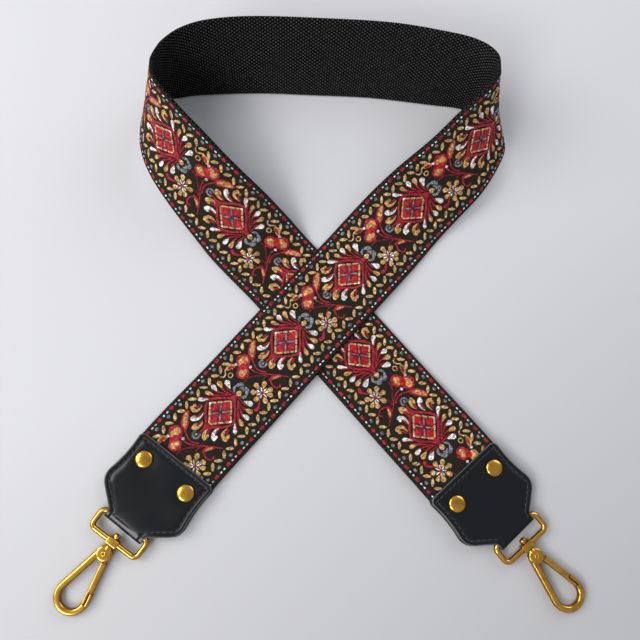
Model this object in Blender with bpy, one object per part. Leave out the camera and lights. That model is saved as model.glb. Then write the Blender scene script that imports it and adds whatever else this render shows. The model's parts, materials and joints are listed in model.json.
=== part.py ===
"""Detachable bag strap, laid down crossed with its band standing on edge. Metres, +Z up.

A patterned ribbon lies on a black webbing. Each end is riveted into a folded leather tab, and the fold
holds a swivel ring with a snap hook. The band leaves the left tab, passes over its other end, turns twice
and comes down to the right tab.
"""

import math

import bmesh
import bpy
import numpy as np
from mathutils import Matrix, Vector

# The band
strap_width = 0.050
webbing_thickness = 0.0015
webbing_edge = 0.0005
ribbon_margin = 0.0008
ribbon_thickness = 0.0006
layer_gap = 0.0002
crossing_gap = 0.0005

# The loop, seen from above: from the crossing to the band behind it, and half its spread
loop_reach = 0.150
loop_spread = 0.100
leg_slant = math.radians(48.25)
left_leg_length = 0.114
right_leg_length = 0.1212
ring_spacing = 0.016
ring_turn = math.radians(6.5)

# The leather tabs
leather_thickness = 0.0013
leather_edge = 0.0004
tab_length = 0.0468
tab_margin = 0.0011
tab_corner_radius = 0.0035
waist_place = 0.012
shoulder_radius = 0.009
neck_radius = 0.003
neck_length = 0.0033
fold_width = 0.0254
flank_angle = math.radians(11)
taper_angle = math.radians(52)
tunnel_clearance = 0.00025
tunnel_slope_length = 0.0025
strap_end_clearance = 0.0014
strap_trim = 0.0006
left_tab_turn = math.radians(4)
right_tab_turn = math.radians(0)

# The double cap rivets
rivet_inset = 0.0113
rivet_side_inset = 0.0104
rivet_cap_radius = 0.00475
rivet_cap_height = 0.0013
rivet_cap_rim = 0.0004
rivet_stem_radius = 0.0017
rivet_bore_radius = 0.0011
rivet_post_radius = 0.0009
rivet_disc_radius = 0.0043
rivet_disc_height = 0.0009
rivet_rest_radius = 0.0028
rivet_seat = 0.0002
rivet_hole_clearance = 0.0003

# The swivel ring
wire_radius = 0.0016
ring_inner_width = 0.0268
ring_depth = 0.01115
ring_corner_radius = 0.0030
ring_setback = 0.00355
left_ring_turn = math.radians(2.2)
right_ring_turn = math.radians(-1.8)
collar_width = 0.0070
collar_length = 0.0042
collar_height = 0.0050
collar_edge = 0.0006

# The swivel stud
stud_head_radius = 0.0020
stud_head_height = 0.0022
stud_head_edge = 0.0003
stud_dimple_radius = 0.0010
stud_dimple_depth = 0.0006
stud_shank_radius = 0.0012
stud_grip = 0.0014
stud_grip_gap = 0.0001
swivel_clearance = 0.0002
swivel_end_gap = 0.0003

# The hook, in its own plane: the pin at the origin, +Y to the tip, the gate on the -X side
pin_reach = 0.0070
hook_length = 0.0265
head_radius = 0.0043
head_thickness = 0.0044
head_edge = 0.0009
neck_boss_radius = 0.0024
bend_radius = 0.0097
rod_width = 0.0038
rod_thickness = 0.0040
rod_edge = 0.0013

# The gate, along its own axis from the pin, with its pin and its spring
gate_lean = math.radians(12.4)
gate_offset = 0.00205
gate_width = 0.0035
gate_thickness = 0.0034
gate_edge = 0.0008
gate_root_gap = 0.00035
nose_start = 0.0210
nose_gap = 0.0004
tongue_end = 0.0268
lap_gap = 0.0003
ear_radius = 0.0025
ear_thickness = 0.0005
ear_gap = 0.0016
ear_web = 0.0007
cheek_gap = 0.0002
pin_radius = 0.00085
pin_clearance = 0.00015
pin_head_radius = 0.0014
pin_head_height = 0.0004
pin_head_edge = 0.0002
pin_bore_radius = 0.0006
pin_bore_depth = 0.0010
spring_wire_radius = 0.00015
spring_coil_radius = 0.0014
spring_pitch = 0.00044
spring_turns = 1
spring_leg_length = 0.0030
spring_leg_lean = math.radians(8)

# Fineness of round shapes, and how far a cut runs past the face it leaves
round_sides = 20
head_sides = 24
small_round_sides = 16
wire_sides = 12
spring_sides = 6
arc_step = math.radians(15)
spring_step = math.radians(30)
smooth_angle = math.radians(38)
flank_steps = 5
rod_edge_steps = 3
overrun = 0.002

# Where the loop of the band passes, from the crossing through the right turn, the back and the left turn.
# Each row gives the middle of the band across and behind as shares of the spread and the reach, the lift of
# its lower edge as a share of the strap width, and the compass bearing and the rise of the line across it.
loop_shares = [
    (0.21, 0.157, 0.056, 138, 0),
    (0.40, 0.297, 0.025, 138, 9),
    (0.53, 0.390, 0.010, 141, 19),
    (0.67, 0.477, 0.075, 144, 27),
    (0.81, 0.561, 0.160, 149, 34),
    (0.93, 0.658, 0.205, 153, 44),
    (0.99, 0.713, 0.190, 155, 52),
    (1.03, 0.774, 0.130, 153, 64),
    (1.03, 0.838, 0.060, 136, 74),
    (1.00, 0.897, 0.015, 103, 75),
    (0.92, 0.937, 0.000, 88, 71),
    (0.73, 0.968, 0.000, 84, 65),
    (0.43, 0.994, 0.000, 85, 62),
    (0.00, 1.000, 0.000, 90, 62),
    (-0.43, 0.994, 0.000, 96, 63),
    (-0.64, 0.976, 0.000, 97, 66),
    (-0.82, 0.937, 0.002, 90, 74),
    (-0.90, 0.900, 0.020, 73, 79),
    (-0.96, 0.852, 0.050, 42, 79),
    (-0.99, 0.787, 0.090, 22, 75),
    (-0.97, 0.722, 0.120, 17, 68),
    (-0.93, 0.663, 0.140, 19, 59),
    (-0.82, 0.557, 0.135, 26, 46),
    (-0.69, 0.461, 0.070, 30, 38),
    (-0.56, 0.378, 0.015, 34, 29),
    (-0.41, 0.284, 0.000, 40, 14),
    (-0.21, 0.157, 0.000, 42, 0),
]
crossing_share = 0.62
sag_share = 0.4

brass = ((0.80, 0.52, 0.16, 1.0), 0.30, 1.0)
spring_steel = ((0.55, 0.55, 0.56, 1.0), 0.30, 1.0)
black_leather = ((0.018, 0.020, 0.024, 1.0), 0.42, 0.0)
black_webbing = ((0.012, 0.012, 0.013, 1.0), 0.85, 0.0)
woven_ribbon = ((0.24, 0.07, 0.05, 1.0), 0.80, 0.0)

# Widths that follow the band's own
ribbon_width = strap_width - 2 * ribbon_margin
tab_width = strap_width + 2 * tab_margin
rivet_spacing = strap_width - 2 * rivet_side_inset

# Heights at a tab, from the table up
tab_floor = rivet_disc_height + rivet_seat
webbing_floor = tab_floor + leather_thickness + layer_gap
stack_height = webbing_thickness + layer_gap + ribbon_thickness
leaf_gap = layer_gap + stack_height + layer_gap
tab_middle = tab_floor + leather_thickness + leaf_gap / 2
tab_top = tab_middle + leaf_gap / 2 + leather_thickness

# Places along a tab, from its back edge
tunnel_radius = wire_radius + tunnel_clearance
ring_skew = fold_width / 2 * math.sin(max(abs(left_ring_turn), abs(right_ring_turn)))
bar_place = tab_length - ring_setback
tunnel_back = bar_place - wire_radius - ring_skew - tunnel_clearance
strap_end = tunnel_back - tunnel_slope_length - strap_end_clearance
fold_centre = tab_length - leather_thickness - tunnel_radius

# Places along the hook's axis, from its pin
neck_end = -pin_reach + collar_length / 2 + swivel_end_gap
stud_end = neck_end + stud_grip
stud_shoulder = -pin_reach - collar_length / 2 - swivel_end_gap
hook_reach = ring_depth + pin_reach + hook_length + bend_radius - rod_edge
droop = math.asin((tab_middle - rod_thickness / 2) / hook_reach)

# Lines of the gate, across its own axis, and half its thicknesses
gate_outer = -gate_offset - gate_width / 2
gate_inner = -gate_offset + gate_width / 2
lap_line = -gate_offset - lap_gap / 2
gate_slot_side = -ear_radius + ear_web
root_half = ear_gap / 2 + ear_thickness
fork_half = root_half + cheek_gap
bar_start = head_radius + gate_root_gap


def clear_scene():
    for obj in list(bpy.data.objects):
        bpy.data.objects.remove(obj)


def make_material(name, look):
    colour, roughness, metallic = look
    material = bpy.data.materials.new(name)
    material.use_nodes = True
    shader = material.node_tree.nodes["Principled BSDF"]
    shader.inputs["Base Color"].default_value = colour
    shader.inputs["Roughness"].default_value = roughness
    shader.inputs["Metallic"].default_value = metallic
    return material


def make_object(name, bm, look=None):
    """An object from a bmesh, its faces turned outwards, with its own material if it has a look."""
    bmesh.ops.recalc_face_normals(bm, faces=bm.faces)
    mesh = bpy.data.meshes.new(name)
    bm.to_mesh(mesh)
    bm.free()
    if look:
        mesh.materials.append(make_material(name, look))
    obj = bpy.data.objects.new(name, mesh)
    bpy.context.scene.collection.objects.link(obj)
    return obj


def make_axis(name, parent, matrix):
    axis = bpy.data.objects.new(name, None)
    bpy.context.scene.collection.objects.link(axis)
    axis.parent = parent
    axis.matrix_local = matrix
    return axis


def seat(obj, parent, matrix=None):
    """Hangs a finished piece on its parent, smooth but for its corners."""
    obj.data.shade_smooth()
    obj.data.set_sharp_from_angle(angle=smooth_angle)
    obj.parent = parent
    obj.matrix_local = matrix or Matrix.Identity(4)
    return obj


def combine(body, tool, operation):
    """Joins the tool to the body or cuts it away, and removes the tool."""
    modifier = body.modifiers.new("tool", "BOOLEAN")
    modifier.operation = operation
    modifier.solver = "EXACT"
    modifier.object = tool
    bpy.context.view_layer.update()
    graph = bpy.context.evaluated_depsgraph_get()
    mesh = bpy.data.meshes.new_from_object(body.evaluated_get(graph))
    body.modifiers.remove(modifier)
    body.data = mesh
    bpy.data.objects.remove(tool)


def cut(body, bm):
    combine(body, make_object("cutter", bm), "DIFFERENCE")


def join(body, bm):
    combine(body, make_object("joined", bm), "UNION")


def loft(rings, closed=False, section=None):
    """A skin over rings of equally many points, with its ends filled, or joined to each other if closed.

    With a flat section given, each face is split along a diagonal that runs the same way in every layer.
    """
    bm = bmesh.new()
    rows = [[bm.verts.new(point) for point in ring] for ring in rings]
    count = len(rows[0])
    following = rows[1:] + rows[:1] if closed else rows[1:]
    for before, after in zip(rows, following):
        for i in range(count):
            j = (i + 1) % count
            if section:
                a, b = (i, j) if section[i][0] > section[j][0] else (j, i)
                bm.faces.new((before[a], before[b], after[b]))
                bm.faces.new((before[a], after[b], after[a]))
            else:
                bm.faces.new((before[i], before[j], after[j], after[i]))
    if not closed:
        bm.faces.new(rows[0])
        bm.faces.new(rows[-1])
    return bm


def revolve(profile, sides, axis="Z"):
    """A solid turned from (radius, height) points that start and end on the axis, Z or Y."""
    bm = bmesh.new()
    rows = []
    for radius, height in profile:
        if radius == 0:
            rows.append([bm.verts.new((0, 0, height))])
            continue
        angles = [math.tau * (i + 0.5) / sides for i in range(sides)]
        rows.append([bm.verts.new((radius * math.cos(a), radius * math.sin(a), height)) for a in angles])
    for before, after in zip(rows, rows[1:]):
        for i in range(sides):
            j = (i + 1) % sides
            corners = (
                before[i % len(before)],
                before[j % len(before)],
                after[j % len(after)],
                after[i % len(after)],
            )
            bm.faces.new(list(dict.fromkeys(corners)))
    if axis == "Y":
        bmesh.ops.rotate(bm, matrix=Matrix.Rotation(math.radians(-90), 3, "X"), verts=bm.verts)
    return bm


def bar(radius, low, high, axis, sides=small_round_sides):
    return revolve([(0, low), (radius, low), (radius, high), (0, high)], sides, axis)


def plate(outline, half, edge=0):
    """A flat outline raised as much above its plane as below, with its rims bevelled."""
    bm = loft([[(x, y, -half) for x, y in outline], [(x, y, half) for x, y in outline]])
    if edge:
        rims = [e for e in bm.edges if e.verts[0].co.z == e.verts[1].co.z]
        bmesh.ops.bevel(bm, geom=rims, offset=edge, segments=2, profile=0.5, affect="EDGES")
    return bm


def block(width, length, height, edge):
    bm = bmesh.new()
    bmesh.ops.create_cube(bm, size=1, matrix=Matrix.Diagonal((width, length, height, 1)))
    bmesh.ops.bevel(bm, geom=bm.edges[:], offset=edge, segments=2, profile=0.5, affect="EDGES")
    return bm


def placed(bm, matrix):
    bmesh.ops.transform(bm, matrix=matrix, verts=bm.verts)
    return bm


def arc(centre, radius, start, end):
    """Points along an arc, no further apart than the arc step."""
    count = max(2, math.ceil(abs(end - start) / arc_step - 0.01))
    angles = [start + (end - start) * i / count for i in range(count + 1)]
    return [(centre[0] + radius * math.cos(a), centre[1] + radius * math.sin(a)) for a in angles]


def rounded_strip(half_width, low, high, edge):
    """The eight corners of a flat section with bevelled edges, as (across, height) points."""
    return [
        (-half_width + edge, low),
        (half_width - edge, low),
        (half_width, low + edge),
        (half_width, high - edge),
        (half_width - edge, high),
        (-half_width + edge, high),
        (-half_width, high - edge),
        (-half_width, low + edge),
    ]


def natural_curve(knots, values):
    """The smoothest curve through values at the knots, its ends free, as a function of the knot length."""
    values = np.array(values, dtype=float)
    steps = np.diff(knots)
    count = len(knots)
    rule = np.eye(count)
    side = np.zeros_like(values)
    for i in range(1, count - 1):
        rule[i, i - 1 : i + 2] = steps[i - 1], 2 * (steps[i - 1] + steps[i]), steps[i]
        side[i] = 6 * ((values[i + 1] - values[i]) / steps[i] - (values[i] - values[i - 1]) / steps[i - 1])
    bends = np.linalg.solve(rule, side)
    slopes = np.zeros_like(values)
    for i, h in enumerate(steps):
        climb = (values[i + 1] - values[i]) / h
        slopes[i] = climb - h * (2 * bends[i] + bends[i + 1]) / 6
        slopes[i + 1] = climb + h * (bends[i] + 2 * bends[i + 1]) / 6
    return curve_with_slopes(knots, values, slopes)


def steady_curve(knots, values):
    """A curve through values at the knots that never swings past them, as a function of the knot length."""
    values = np.array(values, dtype=float)
    climbs = np.diff(values, axis=0) / np.diff(knots)[:, None]
    slopes = np.zeros_like(values)
    before, after = climbs[:-1], climbs[1:]
    agree = before * after > 0
    slopes[1:-1] = np.where(agree, 2 * before * after / np.where(agree, before + after, 1), 0)
    return curve_with_slopes(knots, values, slopes)


def curve_with_slopes(knots, values, slopes):
    def at(place):
        i = int(np.clip(np.searchsorted(knots, place) - 1, 0, len(knots) - 2))
        h = knots[i + 1] - knots[i]
        u = (place - knots[i]) / h
        chord = values[i] + (values[i + 1] - values[i]) * u * u * (3 - 2 * u)
        return chord + h * (slopes[i] * u * (1 - u) ** 2 - slopes[i + 1] * u * u * (1 - u))

    return at


def tab_matrix(side):
    """The tab's frame: the middle of its back edge on the table, +Y towards the hook, +Z up."""
    if side == "left":
        heading, length, turn = math.pi + leg_slant, left_leg_length, left_tab_turn
    else:
        heading, length, turn = -leg_slant, right_leg_length, right_tab_turn
    back = Vector((math.cos(heading), math.sin(heading), 0)) * length
    return Matrix.Translation(back) @ Matrix.Rotation(heading + turn - math.pi / 2, 4, "Z")


def leg_rows(side, lift_at_crossing):
    """Place, lift, bearing and rise of the line across a lower leg, from the crossing into its tab."""
    matrix = tab_matrix(side)
    back = matrix.translation
    along = back.normalized()
    tab_along = matrix.col[1].to_3d()
    bearing = math.pi / 2 + leg_slant if side == "left" else math.pi / 2 - leg_slant
    tab_bearing = bearing + (left_tab_turn if side == "left" else right_tab_turn)
    crossing_end = along * strap_width * crossing_share
    return [
        (along * 0, lift_at_crossing, bearing, 0),
        (crossing_end, lift_at_crossing, bearing, 0),
        ((crossing_end + back) / 2, webbing_floor * sag_share, bearing, 0),
        (back - along * tab_corner_radius, webbing_floor, bearing, 0),
        (back + tab_along * tab_corner_radius, webbing_floor, tab_bearing, 0),
        (back + tab_along * strap_end, webbing_floor, tab_bearing, 0),
    ]


def band_frames():
    """Middle, across and face directions at each ring of the band, closer together where it turns."""
    rows = leg_rows("left", stack_height + crossing_gap)[::-1]
    for x_share, y_share, lift_share, bearing, rise in loop_shares:
        middle = Vector((x_share * loop_spread, y_share * loop_reach, 0))
        rows.append((middle, lift_share * strap_width, math.radians(bearing), math.radians(rise)))
    rows += leg_rows("right", 0)
    knots = [0.0]
    for before, after in zip(rows, rows[1:]):
        knots.append(knots[-1] + (after[0] - before[0]).length)
    plan_at = natural_curve(knots, [(row[0].x, row[0].y) for row in rows])
    pose_at = steady_curve(knots, [row[1:] for row in rows])
    step = strap_width / 1000

    def line_at(place):
        lift, bearing, rise = pose_at(place)
        flat = math.cos(rise)
        across = Vector((math.cos(bearing) * flat, math.sin(bearing) * flat, math.sin(rise)))
        height = lift + across.z * strap_width / 2 + flat * webbing_thickness / 2
        return Vector((*plan_at(place), height)), across

    def frame_at(place):
        middle, across = line_at(place)
        along = line_at(min(place + step, knots[-1]))[0] - line_at(max(place - step, 0))[0]
        return middle, across, along.cross(across).normalized()

    frames = [frame_at(0)]
    for before, after in zip(knots, knots[1:]):
        turn = frame_at(before)[2].angle(frame_at(after)[2])
        count = max(1, math.ceil((after - before) / ring_spacing), math.ceil(turn / ring_turn))
        frames += [frame_at(before + (after - before) * i / count) for i in range(1, count + 1)]
    return frames


def band_layer(name, frames, section, look):
    """A layer of the band with its section swept along it, trimmed and pierced at both tabs."""
    rings = [[middle + across * a + face * h for a, h in section] for middle, across, face in frames]
    layer = make_object(name, loft(rings, section=section), look)
    for side in ("left", "right"):
        for mirrored in (1, -1):
            cut(layer, placed(side_trim(mirrored), tab_matrix(side)))
        for x in (-rivet_spacing / 2, rivet_spacing / 2):
            cut(layer, placed(rivet_hole(x), tab_matrix(side)))
    return layer


def tab_outline():
    """Half the tab's outline as (distance from the back edge, half width) points, and its back corner's part."""
    widest, neck = tab_width / 2, fold_width / 2
    neck_start = tab_length - neck_length
    rounds = shoulder_radius + neck_radius
    taper_run = (widest - neck - rounds * (1 - math.cos(taper_angle))) / math.tan(taper_angle)
    shoulder_place = neck_start - taper_run - rounds * math.sin(taper_angle)
    shoulder_centre = (widest - shoulder_radius, shoulder_place)
    shoulder = [(y, x) for x, y in arc(shoulder_centre, shoulder_radius, -flank_angle, taper_angle)]
    fillet_centre = (neck + neck_radius, neck_start)
    fillet = [(y, x) for x, y in arc(fillet_centre, -neck_radius, taper_angle, 0)]

    flank_end, flank_half = shoulder[0]
    flank_run = flank_end - waist_place
    flare = math.tan(flank_angle) * flank_run / 2
    flank = []
    for i in range(flank_steps):
        place = tab_corner_radius + (flank_end - tab_corner_radius) * i / flank_steps
        flank.append((place, flank_half - flare * (1 - ((place - waist_place) / flank_run) ** 2)))
    corner_centre = (flank[0][1] - tab_corner_radius, tab_corner_radius)
    corner = [(y, x) for x, y in arc(corner_centre, tab_corner_radius, -math.pi / 2, 0)]
    return corner[:-1], flank + shoulder + fillet


def side_trim(mirrored):
    """What is cut off the end of the band outside the tab's edge, on one side."""
    corner, edge = tab_outline()
    far = tab_width / 2 + overrun
    inner = [(half - strap_trim, place) for place, half in edge]
    outline = [(far, edge[0][0])] + inner + [(inner[-1][0], tab_length), (far, tab_length)]
    return plate([(x * mirrored, y) for x, y in outline], tab_top)


def rivet_hole(x):
    hole = bar(rivet_stem_radius + rivet_hole_clearance, -overrun, tab_top + overrun, "Z")
    return placed(hole, Matrix.Translation((x, rivet_inset, 0)))


def leaf_half_gap(place):
    """Half the room between the leaves: the band's stack, widening to the ring's tunnel."""
    share = min(1, max(0, (place - tunnel_back) / tunnel_slope_length + 1))
    ease = share * share * (3 - 2 * share)
    return leaf_gap / 2 + (tunnel_radius - leaf_gap / 2) * ease


def leather_tab(name):
    """One leather piece folded round the ring's bar, swept as a strip from leaf to leaf."""
    corner, edge = tab_outline()
    outline_at, width_at = zip(*corner, *edge)
    places = [tunnel_back - tunnel_slope_length * (1 - i / 4) for i in range(5)]
    places = sorted(places + [place for place in outline_at if place < fold_centre])
    middle_radius = tunnel_radius + leather_thickness / 2
    leaf = []
    for place in places:
        half = float(np.interp(place, outline_at, width_at))
        leaf.append((place, leaf_half_gap(place) + leather_thickness / 2, half, 0.0))
    bend = []
    for y, z in arc((fold_centre, 0), middle_radius, math.pi / 2, -math.pi / 2):
        bend.append((y, z, fold_width / 2, math.atan2(y - fold_centre, z)))
    lower = [(y, -z, half, math.pi) for y, z, half, lean in reversed(leaf)]
    rings = []
    for y, z, half, lean in leaf + bend + lower:
        normal = Vector((0, math.sin(lean), math.cos(lean)))
        middle = Vector((0, y, tab_middle + z))
        section = rounded_strip(half, -leather_thickness / 2, leather_thickness / 2, leather_edge)
        rings.append([middle + Vector((x, 0, 0)) + normal * h for x, h in section])
    tab = make_object(name, loft(rings), black_leather)
    for x in (-rivet_spacing / 2, rivet_spacing / 2):
        cut(tab, rivet_hole(x))
    return tab


def rivet_cap(name):
    """The face cap with its hollow stem, turned about the rivet's axis."""
    seat_height = tab_top + rivet_seat
    top = seat_height + rivet_cap_height
    stem_foot = rivet_disc_height + rivet_seat
    profile = [
        (0, top),
        (rivet_cap_radius * 0.55, top - rivet_cap_rim * 0.25),
        (rivet_cap_radius - rivet_cap_rim, top - rivet_cap_rim),
        (rivet_cap_radius, top - rivet_cap_rim * 2),
        (rivet_cap_radius, seat_height),
        (rivet_stem_radius, seat_height),
        (rivet_stem_radius, stem_foot),
        (rivet_bore_radius, stem_foot),
        (rivet_bore_radius, seat_height),
        (0, seat_height),
    ]
    return make_object(name, revolve(profile, round_sides), brass)


def rivet_post(name):
    """The back disc, which stands on the table, with the post that goes up into the cap's stem."""
    profile = [
        (0, 0),
        (rivet_rest_radius, 0),
        (rivet_disc_radius, rivet_disc_height / 2),
        (rivet_disc_radius, rivet_disc_height),
        (rivet_post_radius, rivet_disc_height),
        (rivet_post_radius, tab_top),
        (0, tab_top),
    ]
    return make_object(name, revolve(profile, round_sides), brass)


def swivel_ring(name):
    """A round wire bent to a rectangle, with the bored collar in the middle of its outer bar."""
    half = ring_inner_width / 2 + wire_radius
    turn = ring_corner_radius
    centres = [(half - turn, turn), (half - turn, ring_depth - turn)]
    centres += [(-half + turn, ring_depth - turn), (-half + turn, turn)]
    path = []
    for i, centre in enumerate(centres):
        start = (i - 1) * math.pi / 2
        path += arc(centre, turn, start, start + math.pi / 2)
    rings = []
    for i, (x, y) in enumerate(path):
        before, after = path[i - 1], path[(i + 1) % len(path)]
        along = Vector((after[0] - before[0], after[1] - before[1], 0)).normalized()
        outward = Vector((along.y, -along.x, 0))
        angles = [math.tau * (k + 0.5) / wire_sides for k in range(wire_sides)]
        middle = Vector((x, y, 0))
        rings.append(
            [middle + (outward * math.cos(a) + Vector((0, 0, math.sin(a)))) * wire_radius for a in angles]
        )
    ring = make_object(name, loft(rings, closed=True), brass)
    at_collar = Matrix.Translation((0, ring_depth, 0))
    join(ring, placed(block(collar_width, collar_length, collar_height, collar_edge), at_collar))
    bore_half = collar_length / 2 + overrun
    cut(ring, placed(bar(stud_shank_radius + swivel_clearance, -bore_half, bore_half, "Y"), at_collar))
    return ring


def swivel_stud(name):
    """A button head inside the ring, with a shank through the collar, pressed into the hook's neck."""
    top = stud_shoulder - stud_head_height
    profile = [
        (0, top + stud_dimple_depth),
        (stud_dimple_radius, top),
        (stud_head_radius - stud_head_edge, top),
        (stud_head_radius, top + stud_head_edge),
        (stud_head_radius, stud_shoulder),
        (stud_shank_radius, stud_shoulder),
        (stud_shank_radius, stud_end),
        (0, stud_end),
    ]
    return make_object(name, revolve(profile, small_round_sides, "Y"), brass)


def gate_point(across, along):
    """A point of the gate's own frame, whose long axis leans to the gate side of the hook."""
    lean = gate_lean
    return (
        across * math.cos(lean) - along * math.sin(lean),
        across * math.sin(lean) + along * math.cos(lean),
    )


def hook_path():
    """The middle of the hook's rod: down the spine, round the bend and up to the nose."""
    head_turn, bend_turn = head_radius - rod_width / 2, bend_radius - rod_width / 2
    flare = math.asin((bend_turn - head_turn) / hook_length)
    spine_start = (head_turn * math.cos(flare), -head_turn * math.sin(flare))
    bend = arc((0, hook_length), bend_turn, -flare, math.pi + flare)
    return [spine_start] + bend + [gate_point(-gate_offset, nose_start)]


def rod(path, width, thickness, edge):
    """A bar with rounded edges along a flat path, its ends cut square to it."""
    side, top = width / 2 - edge, thickness / 2 - edge
    corners = [(side, -top), (side, top), (-side, top), (-side, -top)]
    section = []
    for i, centre in enumerate(corners):
        start = (i - 1) * math.pi / 2
        turns = [start + math.pi / 2 * k / rod_edge_steps for k in range(rod_edge_steps + 1)]
        section += [(centre[0] + edge * math.cos(a), centre[1] + edge * math.sin(a)) for a in turns]
    rings = []
    for i, (x, y) in enumerate(path):
        before, after = path[max(0, i - 1)], path[min(len(path) - 1, i + 1)]
        along = Vector((after[0] - before[0], after[1] - before[1])).normalized()
        rings.append([(x + along.y * a, y - along.x * a, h) for a, h in section])
    return loft(rings)


def fork_outline():
    """The room between the cheeks: round the ears and along the gate from shut to open."""
    room = ear_radius + cheek_gap
    far = head_radius + overrun
    round_part = arc((0, 0), room, math.pi, math.tau + math.pi / 3)
    return round_part + [(round_part[-1][0], far), (-far, far), (-far, 0)]


def hook_frame(name):
    """The cast hook: forked head with its neck, spine, bend and a nose stepped for the gate's tongue."""
    hook = make_object(name, rod(hook_path(), rod_width, rod_thickness, rod_edge), brass)
    angles = [math.tau * (i + 0.5) / head_sides for i in range(head_sides)]
    disc = [(head_radius * math.cos(a), head_radius * math.sin(a)) for a in angles]
    join(hook, plate(disc, head_thickness / 2, head_edge))
    join(hook, bar(neck_boss_radius, neck_end, -ear_radius, "Y"))
    cut(hook, plate(fork_outline(), fork_half))
    pin_hole_half = head_thickness / 2 + overrun
    cut(hook, bar(pin_radius + pin_clearance, -pin_hole_half, pin_hole_half, "Z"))
    cut(hook, bar(stud_shank_radius + stud_grip_gap, neck_end - overrun, 0, "Y"))
    lap_far = gate_inner + rod_width
    lap_start = nose_start - overrun
    lap_end = tongue_end + lap_gap
    lap = [(lap_line, lap_start), (lap_far, lap_start), (lap_far, lap_end), (lap_line, lap_end)]
    cut(hook, plate([gate_point(*point) for point in lap], rod_thickness))
    return hook


def gate(name):
    """The gate: two ears on the pin, a bar flush with the hook's outline and a tongue behind the nose."""
    neck_top = bar_start + overrun
    eye = arc((0, 0), ear_radius, math.pi, math.tau + math.pi / 4)
    eye += [(gate_inner, ear_radius), (gate_inner - gate_edge, neck_top), (gate_outer + gate_edge, neck_top)]
    body = make_object(name, plate([gate_point(*point) for point in eye], root_half), brass)
    rectangle = [
        (gate_outer, bar_start),
        (gate_inner, bar_start),
        (gate_inner, tongue_end),
        (gate_outer, tongue_end),
    ]
    join(body, plate([gate_point(*point) for point in rectangle], gate_thickness / 2, gate_edge))
    step_side = lap_line + lap_gap
    step_start = nose_start - nose_gap
    step_end = tongue_end + overrun
    step_far = gate_outer - overrun
    step = [(step_far, step_start), (step_side, step_start), (step_side, step_end), (step_far, step_end)]
    cut(body, plate([gate_point(*point) for point in step], gate_thickness))
    far = ear_radius + overrun
    slot = [(gate_slot_side, -far), (far, -far), (far, head_radius), (gate_slot_side, head_radius)]
    cut(body, plate([gate_point(*point) for point in slot], ear_gap / 2))
    hole_half = root_half + overrun
    cut(body, bar(pin_radius + pin_clearance, -hole_half, hole_half, "Z"))
    return body


def gate_pin(name):
    """The pin across the head, rolled out to a hollow head over each cheek."""
    cheek = head_thickness / 2 + cheek_gap / 2
    end = cheek + pin_head_height
    upper = [
        (pin_radius, cheek),
        (pin_head_radius, cheek),
        (pin_head_radius, end - pin_head_edge),
        (pin_head_radius - pin_head_edge, end),
        (pin_bore_radius, end),
        (pin_bore_radius, end - pin_bore_depth),
        (0, end - pin_bore_depth),
    ]
    profile = [(radius, -height) for radius, height in reversed(upper)] + upper
    return make_object(name, revolve(profile, small_round_sides), brass)


def gate_spring(name):
    """A torsion spring round the pin: one leg along the spine, its turns, one leg in the gate's slot."""
    start = spring_leg_lean
    end = gate_lean - math.pi - math.tau * spring_turns
    count = math.ceil((start - end) / spring_step)
    angles = [start + (end - start) * i / count for i in range(count + 1)]
    rise = spring_pitch * (start - end) / math.tau
    path = []
    for i, angle in enumerate(angles):
        height = rise * (i / count - 0.5)
        path.append(Vector((spring_coil_radius * math.cos(angle), spring_coil_radius * math.sin(angle), height)))
    first_leg = Vector((-math.sin(start), math.cos(start), 0)) * spring_leg_length
    last_leg = Vector((math.sin(end), -math.cos(end), 0)) * spring_leg_length
    path = [path[0] + first_leg] + path + [path[-1] + last_leg]
    rings = []
    for i, point in enumerate(path):
        along = (path[min(len(path) - 1, i + 1)] - path[max(0, i - 1)]).normalized()
        outward = along.cross(Vector((0, 0, 1))).normalized()
        up = outward.cross(along)
        turns = [math.tau * k / spring_sides for k in range(spring_sides)]
        rings.append([point + (outward * math.cos(a) + up * math.sin(a)) * spring_wire_radius for a in turns])
    return make_object(name, loft(rings), spring_steel)


def hook_end(side, root):
    """The tab with its rivets, and the ring, hook and gate that hang on it, each on its own axis."""
    tab_frame = make_axis(side + "_tab_frame", root, tab_matrix(side))
    seat(leather_tab(side + "_tab"), tab_frame)
    for number, x in ((1, -rivet_spacing / 2), (2, rivet_spacing / 2)):
        place = Matrix.Translation((x, rivet_inset, 0))
        seat(rivet_cap(side + "_rivet_cap_" + str(number)), tab_frame, place)
        seat(rivet_post(side + "_rivet_post_" + str(number)), tab_frame, place)
    ring_turned = left_ring_turn if side == "left" else right_ring_turn
    hang = Matrix.Rotation(ring_turned, 4, "Z") @ Matrix.Rotation(-droop, 4, "X")
    ring_axis = make_axis(side + "_ring_axis", tab_frame, Matrix.Translation((0, bar_place, tab_middle)) @ hang)
    seat(swivel_ring(side + "_ring"), ring_axis)
    hook_axis = make_axis(side + "_hook_axis", ring_axis, Matrix.Translation((0, ring_depth + pin_reach, 0)))
    seat(hook_frame(side + "_hook"), hook_axis)
    seat(swivel_stud(side + "_swivel_stud"), hook_axis)
    seat(gate_pin(side + "_gate_pin"), hook_axis)
    seat(gate_spring(side + "_gate_spring"), hook_axis)
    gate_axis = make_axis(side + "_gate_axis", hook_axis, Matrix.Identity(4))
    seat(gate(side + "_gate"), gate_axis)


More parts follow.
